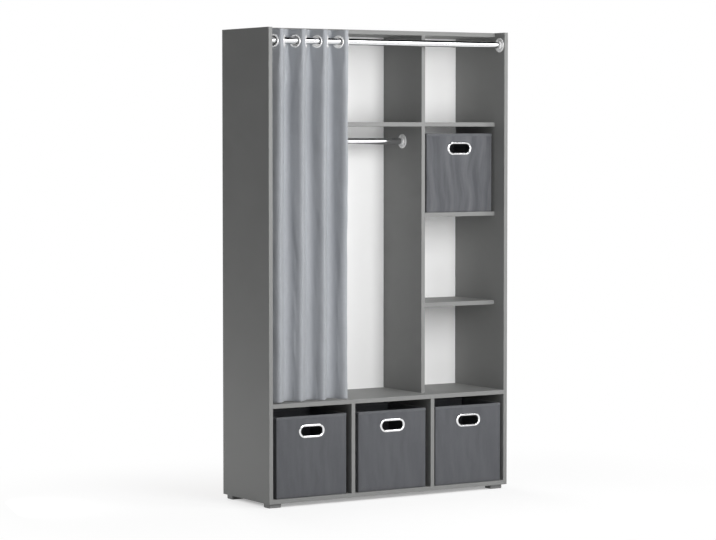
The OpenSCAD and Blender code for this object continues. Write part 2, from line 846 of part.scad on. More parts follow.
// The four stiffening boards. They grow into the pockets that the cover has for them.
module wall_boards(play) {
  front_w = cover_w - 2 * (skin_t + play);
  side_d = cover_d - 2 * (wall_t + skin_t + play);
  top = cover_h + (play == 0 ? cut : -stiff_play);
  bottom = 2 * skin_t + play;
  for (y = [bind_t + skin_t, bin_d - bind_t - skin_t - stiff_t])
    translate([-front_w / 2, y + play / 2, bottom]) cube([front_w, stiff_t - play, top - bottom]);
  for (x = [-cover_w / 2 + skin_t, cover_w / 2 - skin_t - stiff_t])
    translate([x + play / 2, (bin_d - side_d) / 2, bottom]) cube([stiff_t - play, side_d, top - bottom]);
}

module bin_cover() {
  color(bin_grey)
    difference() {
      bin_block(cover_w, cover_d, bin_r, 0, cover_h);
      bin_block(cover_w - 2 * wall_t, cover_d - 2 * wall_t, bin_r - 1, skin_t, cover_h + cut);
      wall_boards(0);
      grip_hole();
    }
}

module bin_stiffeners() {
  color(dark)
    difference() {
      wall_boards(stiff_play);
      grip_hole();
    }
}

module bin_base_board() {
  shrink = 2 * (wall_t + base_play);
  color(bin_grey) bin_block(cover_w - shrink, cover_d - shrink, bin_r, skin_t, skin_t + base_t);
}

// A folded tape that closes the rim and the pockets
module bin_rim_binding() {
  inwards = 2 * (wall_t + bind_t);
  color(bin_grey)
    difference() {
      bin_block(bin_w, bin_d, bin_r + bind_t, bin_h - bind_h, bin_h);
      bin_block(cover_w - inwards, cover_d - inwards, bin_r - 1.5, 0, bin_h + cut);
      difference() {
        bin_block(cover_w, cover_d, bin_r, 0, cover_h);
        bin_block(cover_w - 2 * wall_t, cover_d - 2 * wall_t, bin_r - 1, -cut, cover_h + cut);
      }
    }
}

// A closed band along a stadium-shaped line, from a section whose X is the distance from that line
module grip_band_solid(section) {
  for (side = [-1, 1])
    translate([side * grip_half, 0, 0]) rotate([0, 0, -90 * side])
      rotate_extrude(angle = 180) polygon(section);
  for (side = [-1, 1])
    rotate([90, 0, side * 90]) translate([0, 0, -grip_half])
      linear_extrude(2 * grip_half) polygon(section);
}

module bin_handle_front() {
  barrel_end_z = 0.5 - wall_t - grip_back_rise;
  r_out = grip_r + grip_band;
  mid = (grip_r + r_out) / 2;
  half = grip_band / 2;
  color(chrome)
    translate([0, bind_t, grip_z]) rotate([90, 0, 0]) grip_band_solid(concat(
      [for (i = [0:10]) let (a = 18 * i) [mid + half * cos(a), grip_rise * sin(a)]],
      [[grip_r, barrel_end_z], [grip_r + grip_barrel_t, barrel_end_z], [grip_r + grip_barrel_t, 0]]
    ));
}

module bin_handle_back() {
  r_in = grip_r + grip_barrel_t + grip_play / 2;
  r_out = grip_r + grip_band;
  mid = (r_in + r_out) / 2;
  half = (r_out - r_in) / 2;
  color(chrome)
    translate([0, bind_t + wall_t, grip_z]) rotate([90, 0, 0]) grip_band_solid(
      [for (i = [0:8]) let (a = 22.5 * i) [mid + half * cos(a), -grip_back_rise * sin(a)]]
    );
}

left_side();
right_side();
top_panel();
bottom_panel();
middle_shelf();
tall_divider();
lower_divider(divider_left_x, left_divider_seams);  // lower_divider_left
lower_divider(divider_right_x, right_divider_seams);  // lower_divider_right
wide_top_shelf();
column_shelf(top_shelf_z);  // top_shelf_right
column_shelf(bin_shelf_z);  // bin_shelf
column_shelf(lower_shelf_z);  // lower_shelf
back_sheet(-sheet_x, joint_x - groove_play);  // back_left
back_sheet(joint_x + groove_play, sheet_x);  // back_right
back_nails();
dowels();
cam_bolts();
cam_discs();
feet();
foot_screws();
curtain_rod();
rod_flanges();
hanging_rail();
rail_flanges();
flange_screws();
curtain_heading();
curtain_cloth();
eyelet_fronts();
eyelet_backs();
at_bin(bin_left) bin_cover();  // bin_left_cover
at_bin(bin_left) bin_stiffeners();  // bin_left_stiffeners
at_bin(bin_left) bin_base_board();  // bin_left_base_board
at_bin(bin_left) bin_rim_binding();  // bin_left_rim_binding
at_bin(bin_left) bin_handle_front();  // bin_left_handle_front
at_bin(bin_left) bin_handle_back();  // bin_left_handle_back
at_bin(bin_middle) bin_cover();  // bin_middle_cover
at_bin(bin_middle) bin_stiffeners();  // bin_middle_stiffeners
at_bin(bin_middle) bin_base_board();  // bin_middle_base_board
at_bin(bin_middle) bin_rim_binding();  // bin_middle_rim_binding
at_bin(bin_middle) bin_handle_front();  // bin_middle_handle_front
at_bin(bin_middle) bin_handle_back();  // bin_middle_handle_back
at_bin(bin_right) bin_cover();  // bin_right_cover
at_bin(bin_right) bin_stiffeners();  // bin_right_stiffeners
at_bin(bin_right) bin_base_board();  // bin_right_base_board
at_bin(bin_right) bin_rim_binding();  // bin_right_rim_binding
at_bin(bin_right) bin_handle_front();  // bin_right_handle_front
at_bin(bin_right) bin_handle_back();  // bin_right_handle_back
at_bin(bin_upper) bin_cover();  // bin_upper_cover
at_bin(bin_upper) bin_stiffeners();  // bin_upper_stiffeners
at_bin(bin_upper) bin_base_board();  // bin_upper_base_board
at_bin(bin_upper) bin_rim_binding();  // bin_upper_rim_binding
at_bin(bin_upper) bin_handle_front();  // bin_upper_handle_front
at_bin(bin_upper) bin_handle_back();  // bin_upper_handle_back
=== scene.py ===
from math import cos, hypot, pi, radians, sin

import bpy
from mathutils import Euler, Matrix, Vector, noise


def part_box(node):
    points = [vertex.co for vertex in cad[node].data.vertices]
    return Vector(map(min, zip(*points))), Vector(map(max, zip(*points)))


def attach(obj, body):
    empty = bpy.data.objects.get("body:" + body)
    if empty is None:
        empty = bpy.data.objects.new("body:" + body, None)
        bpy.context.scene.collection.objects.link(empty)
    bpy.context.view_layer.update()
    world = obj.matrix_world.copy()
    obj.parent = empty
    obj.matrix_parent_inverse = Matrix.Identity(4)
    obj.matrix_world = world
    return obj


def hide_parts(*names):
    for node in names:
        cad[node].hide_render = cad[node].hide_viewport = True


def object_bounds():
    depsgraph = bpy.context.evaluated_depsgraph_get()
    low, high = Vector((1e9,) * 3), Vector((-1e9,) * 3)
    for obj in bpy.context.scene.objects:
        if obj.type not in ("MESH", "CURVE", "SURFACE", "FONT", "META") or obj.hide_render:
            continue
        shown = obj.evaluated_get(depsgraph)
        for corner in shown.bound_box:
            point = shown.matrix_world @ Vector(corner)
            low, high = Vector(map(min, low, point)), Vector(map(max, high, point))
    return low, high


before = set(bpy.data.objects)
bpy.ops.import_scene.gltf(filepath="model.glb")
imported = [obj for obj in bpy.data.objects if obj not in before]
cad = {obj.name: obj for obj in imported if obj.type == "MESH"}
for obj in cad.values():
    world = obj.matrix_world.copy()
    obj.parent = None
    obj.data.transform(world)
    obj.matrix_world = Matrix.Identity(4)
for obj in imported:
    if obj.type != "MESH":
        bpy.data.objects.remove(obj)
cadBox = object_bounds()
scene = bpy.context.scene
print("frame loaded")

# places in metres, turns in degrees, lens and sensor in millimetres
shot = {"place": (-5.2262, -8.2873, 1.3692), "yaw": 32.037, "pitch": 3.023, "lens": 130.08,
        "sensor": 36, "reach": 60}
lamps = {
    "sideLamp": {"place": (1.9, -2.7, 2.9), "aim": (0.0, 0.0, 1.3), "size": (1.6, 1.6), "power": 36},
    "frontLamp": {"place": (0.15, -2.9, 1.65), "aim": (0.05, 0.0, 1.55), "size": (1.4, 2.6), "power": 78},
    # a fill near the floor on the left, and one behind for the rear
    "lowLamp": {"place": (-1.32, 0.35, 0.12), "aim": (-0.53, 0.12, 0.15), "size": (0.4, 0.4), "power": 1.4},
    "rearLamp": {"place": (0.25, 3.4, 2.0), "aim": (0.0, 0.0, 1.1), "size": (1.3, 1.3), "power": 62},
}


def addCamera():
    data = bpy.data.cameras.new("camera")
    data.lens = shot["lens"]
    data.sensor_width = shot["sensor"]
    data.clip_end = shot["reach"]
    camera = bpy.data.objects.new("camera", data)
    camera.location = shot["place"]
    camera.rotation_euler = Euler((radians(90 - shot["pitch"]), 0, radians(-shot["yaw"])))
    scene.collection.objects.link(camera)
    scene.camera = camera


def addLamp(name, look):
    data = bpy.data.lights.new(name, "AREA")
    data.shape = "ELLIPSE"
    data.size, data.size_y = look["size"]
    data.energy = look["power"]
    lamp = bpy.data.objects.new(name, data)
    lamp.location = look["place"]
    aim = Vector(look["aim"]) - Vector(look["place"])
    lamp.rotation_euler = aim.to_track_quat("-Z", "Y").to_euler()
    scene.collection.objects.link(lamp)


addCamera()
for name, look in lamps.items():
    addLamp(name, look)
print("camera and lamps set")


# helpers for node trees

def plug(tree, socket, value):
    # a socket gets either a plain value or a link
    if isinstance(value, bpy.types.NodeSocket):
        tree.links.new(value, socket)
    elif value is not None:
        socket.default_value = value


def plugInOrder(tree, node, values):
    for socket, value in zip(node.inputs, values):
        plug(tree, socket, value)
    return node


def feed(tree, node, **inputs):
    # underscores stand for the spaces in a socket's name
    for key, value in inputs.items():
        plug(tree, node.inputs[key.replace("_", " ")], value)
    return node


def addNode(tree, kind, **values):
    node = tree.nodes.new(kind)
    for key, value in values.items():
        setattr(node, key, value)
    return node


def maths(tree, operation, first, second=None, third=None, clamp=False):
    node = addNode(tree, "ShaderNodeMath", operation=operation, use_clamp=clamp)
    return plugInOrder(tree, node, (first, second, third)).outputs[0]


def vectorMaths(tree, operation, first, second=None, third=None):
    node = addNode(tree, "ShaderNodeVectorMath", operation=operation)
    plugInOrder(tree, node, (first, second, third))
    return node.outputs["Value" if operation == "LENGTH" else "Vector"]


def splitVector(tree, vector):
    return plugInOrder(tree, addNode(tree, "ShaderNodeSeparateXYZ"), [vector]).outputs


def ramp(tree, value, low, high, outLow=0.0, outHigh=1.0):
    node = addNode(tree, "ShaderNodeMapRange", interpolation_type="SMOOTHSTEP")
    return plugInOrder(tree, node, (value, low, high, outLow, outHigh)).outputs[0]


def spread(tree, mask, values):
    # a mask of noise mostly stays between these two levels
    return ramp(tree, mask, 0.2, 0.8, *values)


def mixColors(tree, mask, first, second, blend="MIX"):
    node = addNode(tree, "ShaderNodeMix", data_type="RGBA", blend_type=blend)
    factor, firstColor, secondColor = node.inputs[0], node.inputs[6], node.inputs[7]
    for socket, value in ((factor, mask), (firstColor, first), (secondColor, second)):
        plug(tree, socket, value)
    return node.outputs[2]


def noiseMask(tree, vector, scale, detail, roughness):
    node = addNode(tree, "ShaderNodeTexNoise")
    return feed(tree, node, Vector=vector, Scale=scale, Detail=detail, Roughness=roughness).outputs["Fac"]


def stretched(tree, vector, scale):
    return feed(tree, addNode(tree, "ShaderNodeMapping"), Vector=vector, Scale=scale).outputs[0]


def facingRear(tree):
    # 1 on faces that look to the rear, -1 on those that look to the front
    geometry = addNode(tree, "ShaderNodeNewGeometry")
    return splitVector(tree, geometry.outputs["True Normal"])[1]


def newGroup(name, inputs, outputs):
    group = bpy.data.node_groups.new(name, "ShaderNodeTree")
    for label, kind, value in inputs:
        socket = group.interface.new_socket(label, in_out="INPUT", socket_type="NodeSocket" + kind)
        if value is not None:
            socket.default_value = value
    for label, kind in outputs:
        group.interface.new_socket(label, in_out="OUTPUT", socket_type="NodeSocket" + kind)
    return group, addNode(group, "NodeGroupInput"), addNode(group, "NodeGroupOutput")


def useGroup(tree, group, **inputs):
    return feed(tree, addNode(tree, "ShaderNodeGroup", node_tree=group), **inputs)


def newMaterial(name):
    material = bpy.data.materials.new(name)
    material.use_nodes = True
    tree = material.node_tree
    return material, tree, tree.nodes["Principled BSDF"], addNode(tree, "ShaderNodeTexCoord")


def bump(tree, shader, height, distance):
    node = feed(tree, addNode(tree, "ShaderNodeBump"), Height=height, Distance=distance)
    feed(tree, shader, Normal=node.outputs[0])


def gray(level, tint=(1, 1, 1)):
    return (level * tint[0], level * tint[1], level * tint[2], 1)


# fine pebbled print of a foil or moulding: a mask of flecks and a height
flecksLook = {"detail": 3.0, "fine": 0.6, "broad": 0.55, "broadScale": 0.013}


def makeFlecks():
    group, start, end = newGroup("flecks", [("Vector", "Vector", None), ("Scale", "Float", 300.0),
                                            ("Contrast", "Float", 1.0)],
                                 [("Mask", "Float"), ("Height", "Float")])
    vector, scale, contrast = start.outputs[:3]
    fine = noiseMask(group, vector, scale, flecksLook["detail"], flecksLook["fine"])
    broadScale = maths(group, "MULTIPLY", scale, flecksLook["broadScale"])
    broad = noiseMask(group, vector, broadScale, flecksLook["detail"], flecksLook["broad"])
    both = maths(group, "ADD", maths(group, "SUBTRACT", fine, 0.5), maths(group, "SUBTRACT", broad, 0.5))
    mask = maths(group, "MULTIPLY_ADD", both, contrast, 0.5, clamp=True)
    feed(group, end, Mask=mask, Height=fine)
    return group


# how near a point of a board is to one of its edges, broken up by noise
wearLook = {"scale": 35.0, "detail": 5.0, "roughness": 0.7, "gain": 1.6, "offset": -0.3}


def makeEdgeWear():
    group, start, end = newGroup("edgeWear", [("Vector", "Vector", None), ("Low", "Vector", None),
                                              ("High", "Vector", None), ("Width", "Float", 0.002)],
                                 [("Mask", "Float")])
    vector, low, high, width = start.outputs[:4]
    x, y, z = splitVector(group, vectorMaths(group, "MINIMUM", vectorMaths(group, "SUBTRACT", vector, low),
                                             vectorMaths(group, "SUBTRACT", high, vector)))
    # the middle one of the three distances is the distance to the nearest edge
    lower = maths(group, "MINIMUM", x, y)
    upper = maths(group, "MAXIMUM", x, y)
    middle = maths(group, "MAXIMUM", lower, maths(group, "MINIMUM", upper, z))
    patches = noiseMask(group, vector, wearLook["scale"], wearLook["detail"], wearLook["roughness"])
    rough = maths(group, "MULTIPLY_ADD", patches, wearLook["gain"], wearLook["offset"])
    reach = maths(group, "MULTIPLY", width, rough)
    feed(group, end, Mask=ramp(group, middle, 0.0, reach, 1.0, 0.0))
    return group


# the raw edge of a particle board
chipLook = {"scale": 420.0, "stretch": (1, 1, 2.2), "dark": (0.30, 0.19, 0.10, 1),
            "light": (0.62, 0.46, 0.29, 1)}


def makeChipboard():
    group, start, end = newGroup("chipboard", [("Vector", "Vector", None)],
                                 [("Color", "Color"), ("Height", "Float")])
    place = stretched(group, start.outputs[0], chipLook["stretch"])
    chips = feed(group, addNode(group, "ShaderNodeTexVoronoi"), Vector=place, Scale=chipLook["scale"])
    tone = feed(group, addNode(group, "ShaderNodeSeparateColor"), Color=chips.outputs["Color"])
    shade = mixColors(group, tone.outputs[0], chipLook["dark"], chipLook["light"])
    feed(group, end, Color=shade, Height=tone.outputs[1])
    return group


# plain weave over a surface that is laid out flat in metres, with slubs both ways
weaveLook = {"slubs": ((9.0, 260.0, 1.0), (260.0, 9.0, 1.0)), "scale": 3.0, "detail": 3.0,
             "roughness": 0.6, "slubHeight": 0.8}


def makeWeave():
    group, start, end = newGroup("weave", [("Vector", "Vector", None), ("Threads", "Float", 1400.0),
                                           ("Slub", "Float", 0.3)],
                                 [("Shade", "Float"), ("Height", "Float")])
    vector, threads, slub = start.outputs[:3]
    x, y, _ = splitVector(group, vector)
    turns = maths(group, "MULTIPLY", threads, pi)
    across = maths(group, "SINE", maths(group, "MULTIPLY", x, turns))
    along = maths(group, "SINE", maths(group, "MULTIPLY", y, turns))
    cross = maths(group, "MULTIPLY", across, along)
    first, second = [noiseMask(group, stretched(group, vector, scale), weaveLook["scale"],
                               weaveLook["detail"], weaveLook["roughness"]) for scale in weaveLook["slubs"]]
    uneven = maths(group, "SUBTRACT", maths(group, "ADD", first, second), 1.0)
    shade = maths(group, "MULTIPLY_ADD", uneven, slub, 0.5, clamp=True)
    height = maths(group, "MULTIPLY_ADD", uneven, weaveLook["slubHeight"], cross)
    feed(group, end, Shade=shade, Height=height)
    return group


# slow changes of gloss, as on handled metal
smudgeLook = {"detail": 6.0, "roughness": 0.65, "from": 0.35, "to": 0.7}


def makeSmudges():
    group, start, end = newGroup("smudges", [("Vector", "Vector", None), ("Scale", "Float", 20.0),
                                             ("Low", "Float", 0.06), ("High", "Float", 0.16)],
                                 [("Roughness", "Float"), ("Mask", "Float")])
    vector, scale, low, high = start.outputs[:4]
    patches = noiseMask(group, vector, scale, smudgeLook["detail"], smudgeLook["roughness"])
    clouds = ramp(group, patches, smudgeLook["from"], smudgeLook["to"])
    roughness = maths(group, "MULTIPLY_ADD", clouds, maths(group, "SUBTRACT", high, low), low)
    feed(group, end, Roughness=roughness, Mask=clouds)
    return group


flecks = makeFlecks()
edgeWear = makeEdgeWear()
chipboard = makeChipboard()
weave = makeWeave()
smudges = makeSmudges()
print("effects ready")


def dress(node, material):
    cad[node].data.materials.clear()
    cad[node].data.materials.append(material)


# grey melamine board with a band on its front edge
boards = ["left_side", "right_side", "top_panel", "bottom_panel", "middle_shelf", "tall_divider",
          "lower_divider_left", "lower_divider_right", "wide_top_shelf", "top_shelf_right",
          "bin_shelf", "lower_shelf"]
boardLook = {
    "dark": gray(0.232, (0.99, 1.0, 0.985)), "light": gray(0.268, (0.99, 1.0, 0.985)),
    "printScale": 900.0, "printContrast": 0.9, "printHeight": 0.25, "relief": 0.00015,
    "roughness": (0.54, 0.64), "rawRoughness": 0.85, "square": (0.8, 0.9),
    "bandTone": gray(0.9), "bandDepth": 0.0012, "worn": gray(0.38), "wornWidth": 0.0016, "wear": 0.5,
    "joint": gray(0.09), "jointLine": 0.00022, "jointShade": 0.55,
}


def boardMaterial(node):
    look = boardLook
    material, tree, shader, coords = newMaterial("board_" + node)
    place = coords.outputs["Object"]
    low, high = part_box(node)
    foil = useGroup(tree, flecks, Vector=place, Scale=look["printScale"], Contrast=look["printContrast"])
    melamine = mixColors(tree, foil.outputs["Mask"], look["dark"], look["light"])
    # the band is a little darker than the faces, and rear edges are left raw
    facing = facingRear(tree)
    nearly, fully = look["square"]
    front = ramp(tree, facing, -fully, -nearly, 1.0, 0.0)
    rear = ramp(tree, facing, nearly, fully)
    melamine = mixColors(tree, front, melamine, look["bandTone"], "MULTIPLY")
    worn = useGroup(tree, edgeWear, Vector=place, Low=low, High=high, Width=look["wornWidth"])
    wear = maths(tree, "MULTIPLY", worn.outputs["Mask"], look["wear"])
    melamine = mixColors(tree, wear, melamine, look["worn"])
    # the joint of the band is a hairline on the faces beside it
    behind = maths(tree, "SUBTRACT", splitVector(tree, place)[1], low.y + look["bandDepth"])
    joint = ramp(tree, maths(tree, "ABSOLUTE", behind), 0.0, look["jointLine"], look["jointShade"], 0.0)
    melamine = mixColors(tree, joint, melamine, look["joint"])
    raw = useGroup(tree, chipboard, Vector=place)
    gloss = spread(tree, foil.outputs["Mask"], look["roughness"])
    rawGloss = maths(tree, "MULTIPLY", rear, look["rawRoughness"])
    feed(tree, shader, Base_Color=mixColors(tree, rear, melamine, raw.outputs["Color"]),
         Roughness=maths(tree, "MAXIMUM", gloss, rawGloss))
    height = maths(tree, "ADD", maths(tree, "MULTIPLY", foil.outputs["Height"], look["printHeight"]),
                   maths(tree, "MULTIPLY", raw.outputs["Height"], rear))
    bump(tree, shader, maths(tree, "SUBTRACT", height, joint), look["relief"])
    return material


for node in boards:
    dress(node, boardMaterial(node))


# only the front of the back is foiled, and its rear is bare hardboard with a screen print of fibres
backLook = {"white": gray(0.92), "shade": gray(0.89, (1, 1, 0.995)), "printScale": 500.0,
            "printContrast": 0.7, "fibre": (0.30, 0.19, 0.11, 1), "fibreDark": (0.17, 0.10, 0.055, 1),
            "fibreScale": 700.0, "fibreDetail": 5.0, "fibreRoughness": 0.7, "fibreMask": (0.35, 0.65),
            "turn": 0.2, "roughness": 0.42, "bareRoughness": 0.82, "foilHeight": 0.1, "relief": 0.0003}


def backMaterial():
    look = backLook
    material, tree, shader, coords = newMaterial("white_back")
    place = coords.outputs["Object"]
    foil = useGroup(tree, flecks, Vector=place, Scale=look["printScale"], Contrast=look["printContrast"])
    white = mixColors(tree, foil.outputs["Mask"], look["shade"], look["white"])
    rear = ramp(tree, facingRear(tree), -look["turn"], look["turn"])
    fibres = noiseMask(tree, place, look["fibreScale"], look["fibreDetail"], look["fibreRoughness"])
    bare = mixColors(tree, ramp(tree, fibres, *look["fibreMask"]), look["fibreDark"], look["fibre"])
    rougher = look["bareRoughness"] - look["roughness"]
    feed(tree, shader, Base_Color=mixColors(tree, rear, white, bare),
         Roughness=maths(tree, "MULTIPLY_ADD", rear, rougher, look["roughness"]))
    strength = maths(tree, "MULTIPLY_ADD", rear, 1 - look["foilHeight"], look["foilHeight"])
    bump(tree, shader, maths(tree, "MULTIPLY", fibres, strength), look["relief"])
    return material


whiteBack = backMaterial()
for node in ("back_left", "back_right"):
    dress(node, whiteBack)


# plated metals: clean and touched tones, the range of their gloss, and for a grain of the surface its
# scale, detail and roughness
chromeLook = {"smudges": 45.0, "roughness": (0.07, 0.16), "metallic": 1.0, "relief": 0,
              "clean": gray(0.88, (0.98, 0.99, 1.0)), "touched": gray(0.80, (0.99, 0.99, 1.0))}
satinLook = {"smudges": 60.0, "roughness": (0.15, 0.25), "metallic": 0.2, "relief": 0,
             "clean": gray(0.97), "touched": gray(0.92)}
zincLook = {"smudges": 260.0, "roughness": (0.28, 0.5), "metallic": 1.0, "relief": 0.0001,
            "grain": (900.0, 3.0, 0.5), "clean": gray(0.62, (0.97, 0.99, 1.0)),
            "touched": gray(0.48, (1.0, 0.99, 0.95))}


def platedMaterial(name, look):
    material, tree, shader, coords = newMaterial(name)
    place = coords.outputs["Object"]
    low, high = look["roughness"]
    touch = useGroup(tree, smudges, Vector=place, Scale=look["smudges"], Low=low, High=high)
    feed(tree, shader, Metallic=look["metallic"], Roughness=touch.outputs["Roughness"],
         Base_Color=mixColors(tree, touch.outputs["Mask"], look["clean"], look["touched"]))
    if look["relief"]:
        bump(tree, shader, noiseMask(tree, place, *look["grain"]), look["relief"])
    return material


# raw beech of the dowels
beechLook = {"dark": (0.55, 0.36, 0.2, 1), "light": (0.78, 0.6, 0.4, 1), "grain": (600.0, 4.0, 0.6),
             "roughness": 0.7, "relief": 0.0002}


def beechMaterial(look):
    material, tree, shader, coords = newMaterial("beech")
    grain = noiseMask(tree, coords.outputs["Object"], *look["grain"])
    feed(tree, shader, Base_Color=mixColors(tree, grain, look["dark"], look["light"]),
         Roughness=look["roughness"])
    bump(tree, shader, grain, look["relief"])
    return material


# two tones in fine flecks, as a moulding, a grey board or a twisted thread has
footLook = {"dark": gray(0.21), "light": gray(0.26), "scale": 1400.0, "contrast": 1.4,
            "roughness": (0.42, 0.6), "relief": 0.0003}
cardLook = {"dark": (0.2, 0.17, 0.13, 1), "light": (0.33, 0.29, 0.23, 1), "scale": 700.0, "contrast": 1.2,
            "roughness": 0.9, "relief": 0.0003}
curtainThreadLook = {"dark": (0.33, 0.345, 0.37, 1), "light": (0.5, 0.52, 0.55, 1), "scale": 2500.0,
                     "contrast": 1.0, "roughness": 0.6, "relief": 0.0001}
binThreadLook = {**curtainThreadLook, "dark": (0.14, 0.145, 0.155, 1), "light": (0.24, 0.245, 0.26, 1)}


def fleckedMaterial(name, look):
    material, tree, shader, coords = newMaterial(name)
    grain = useGroup(tree, flecks, Vector=coords.outputs["Object"], Scale=look["scale"],
                     Contrast=look["contrast"])
    roughness = look["roughness"]
    if isinstance(roughness, tuple):
        roughness = spread(tree, grain.outputs["Mask"], roughness)
    feed(tree, shader, Base_Color=mixColors(tree, grain.outputs["Mask"], look["dark"], look["light"]),
         Roughness=roughness)
    bump(tree, shader, grain.outputs["Height"], look["relief"])
    return material


chrome = platedMaterial("chrome", chromeLook)
zinc = platedMaterial("zinc", zincLook)
satin = platedMaterial("satin_plate", satinLook)
card = fleckedMaterial("stiff_card", cardLook)
curtainThread = fleckedMaterial("curtain_thread", curtainThreadLook)
binThread = fleckedMaterial("bin_thread", binThreadLook)
for node in ("curtain_rod", "hanging_rail"):
    dress(node, chrome)
for node in ("rod_flanges", "rail_flanges", "eyelet_fronts", "eyelet_backs"):
    dress(node, satin)
for node in ("back_nails", "cam_bolts", "cam_discs", "foot_screws", "flange_screws"):
    dress(node, zinc)
dress("dowels", beechMaterial(beechLook))
dress("feet", fleckedMaterial("foot_plastic", footLook))
bins = ["bin_left", "bin_middle", "bin_right", "bin_upper"]
for name in bins:
    dress(name + "_stiffeners", card)
    dress(name + "_handle_front", chrome)
    dress(name + "_handle_back", chrome)
print("frame dressed")


# cloths: tones, threads to the metre, the painted crease shade in upright bands, and the creases and relief
# of their surface
curtainClothLook = {
    "dark": (0.335, 0.35, 0.375, 1), "light": (0.43, 0.447, 0.475, 1), "threads": 1700.0, "slub": 0.9,
    "roughness": (0.42, 0.56), "sheen": 0.25, "sheenRoughness": 0.4, "specular": 0.45,
    "creaseScale": 9.0, "creases": 11.0, "relief": 0.00018,
    "bandScale": (22, 2.5, 1), "shadeBands": 0.2, "swayScale": 4.0, "sway": 0.04}
binClothLook = {
    "dark": (0.077, 0.080, 0.089, 1), "light": (0.115, 0.119, 0.130, 1), "threads": 1300.0, "slub": 0.8,
    "roughness": (0.62, 0.8), "sheen": 0.2, "sheenRoughness": 0.5, "specular": 0.35,
    "creaseScale": 14.0, "creases": 5.0, "relief": 0.0002,
    "bandScale": (34, 5, 1), "shadeBands": 0.24, "swayScale": 5.0, "sway": 0.05}
# the upper bin's cover is the most creased one, and its cloth has the strongest painted crease shade
creaseShadedClothLook = {
    **binClothLook, "dark": (0.072, 0.075, 0.084, 1), "light": (0.135, 0.139, 0.150, 1),
    "bandScale": (24, 2.2, 1), "shadeBands": 0.5, "sway": 0.08}
tapeClothLook = {
    "dark": (0.095, 0.099, 0.108, 1), "light": (0.137, 0.142, 0.153, 1), "threads": 2100.0, "slub": 0.8,
    "roughness": (0.6, 0.75), "sheen": 0.25, "sheenRoughness": 0.4, "specular": 0.4,
    "creaseScale": 60.0, "creases": 1.5, "relief": 0.0002,
    "bandScale": (30, 5, 1), "shadeBands": 0.2, "swayScale": 5.0, "sway": 0.02}
# what all cloths share: the noise of the painted shade bands in scale, detail and roughness, its levels where
# they are darkest and lightest, and the noises of their sway and of the creases
clothNoise = {"shadeBands": (1.0, 3.0, 0.55), "bandLevels": (0.3, 0.7), "swayDetail": 1.0,
              "creaseDetail": 3.0, "creaseRoughness": 0.5}


def clothMaterial(name, look):
    material, tree, shader, coords = newMaterial(name)
    flat = coords.outputs["UV"]
    cloth = useGroup(tree, weave, Vector=flat, Threads=look["threads"], Slub=look["slub"])
    # painted shade of shallow creases: broad upright bands that sway a little, lighter or darker than the
    # rest
    sway = feed(tree, addNode(tree, "ShaderNodeTexNoise"), Vector=flat, Scale=look["swayScale"],
                Detail=clothNoise["swayDetail"])
    swayed = vectorMaths(tree, "MULTIPLY_ADD", sway.outputs["Color"], (look["sway"], 0, 0), flat)
    clouds = noiseMask(tree, stretched(tree, swayed, look["bandScale"]), *clothNoise["shadeBands"])
    shadeBands = ramp(tree, clouds, *clothNoise["bandLevels"], -look["shadeBands"], look["shadeBands"])
    tone = maths(tree, "ADD", cloth.outputs["Shade"], shadeBands, clamp=True)
    feed(tree, shader, Base_Color=mixColors(tree, tone, look["dark"], look["light"]),
         Roughness=spread(tree, cloth.outputs["Shade"], look["roughness"]), Sheen_Weight=look["sheen"],
         Sheen_Roughness=look["sheenRoughness"], Specular_IOR_Level=look["specular"])
    creases = noiseMask(tree, flat, look["creaseScale"], clothNoise["creaseDetail"],
                        clothNoise["creaseRoughness"])
    height = maths(tree, "MULTIPLY_ADD", creases, look["creases"], cloth.outputs["Height"])
    bump(tree, shader, height, look["relief"])
    return material


curtainCloth = clothMaterial("curtain_cloth", curtainClothLook)
binCloth = clothMaterial("bin_cloth", binClothLook)
creaseShadedCloth = clothMaterial("bin_cloth_crease_shaded", creaseShadedClothLook)
tapeCloth = clothMaterial("tape_cloth", tapeClothLook)
print("cloth finishes ready")


# helpers for meshes

def ease(t):
    t = min(max(t, 0.0), 1.0)
    return t * t * (3 - 2 * t)


def mix(a, b, t):
    return a + (b - a) * t


def within(value, limit):
    return max(-limit, min(limit, value))


def ripple(x, y, seed):
    return noise.noise(Vector((x, y, seed)))


def waves(across, down, rows, seed=0.0):
    # a sum of ripples, from rows of: steps across, steps down, own seed, strength and slant
    return sum(share * ripple((across + slant * down) * wide, down * tall, seed + own)
               for wide, tall, own, share, slant in rows)


def middleOf(node):
    # the middle, half the width and half the depth of a node's box
    low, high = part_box(node)
    return (low + high) / 2, (high.x - low.x) / 2, (high.y - low.y) / 2


def cellCorners(i, j):
    return (i, j), (i, j + 1), (i + 1, j + 1), (i + 1, j)


def clothFace(index, side, i, j):
    # one cell of a cloth's upper or lower face, which looks outwards
    ring = (index[side, i, j], index[side, i + 1, j], index[side, i + 1, j + 1], index[side, i, j + 1])
    return ring if side > 0 else ring[::-1]


def newPiece(name, points, faces, material, flat=None):
    # points that no face uses, as those inside a hole, are left out
    used = sorted({v for face in faces for v in face})
    order = {v: n for n, v in enumerate(used)}
    mesh = bpy.data.meshes.new(name)
    mesh.from_pydata([points[v] for v in used], [], [tuple(order[v] for v in face) for face in faces])
    if flat:
        layer = mesh.uv_layers.new(name="flat")
        for loop in mesh.loops:
            layer.data[loop.index].uv = flat[used[loop.vertex_index]]
    mesh.materials.append(material)
    mesh.validate()
    mesh.shade_smooth()
    piece = bpy.data.objects.new(name, mesh)
    scene.collection.objects.link(piece)
    return piece


# a stitch's rings: where each lies along it, its width, and its height over the cloth
stitchLook = {"length": 0.0036, "gap": 0.0016, "radius": 0.00028, "sink": 0.00008, "sides": 4,
              "rings": ((0.0, 0.35, -1.0), (0.2, 1.0, 0.6), (0.8, 1.0, 0.6), (1.0, 0.35, -1.0))}


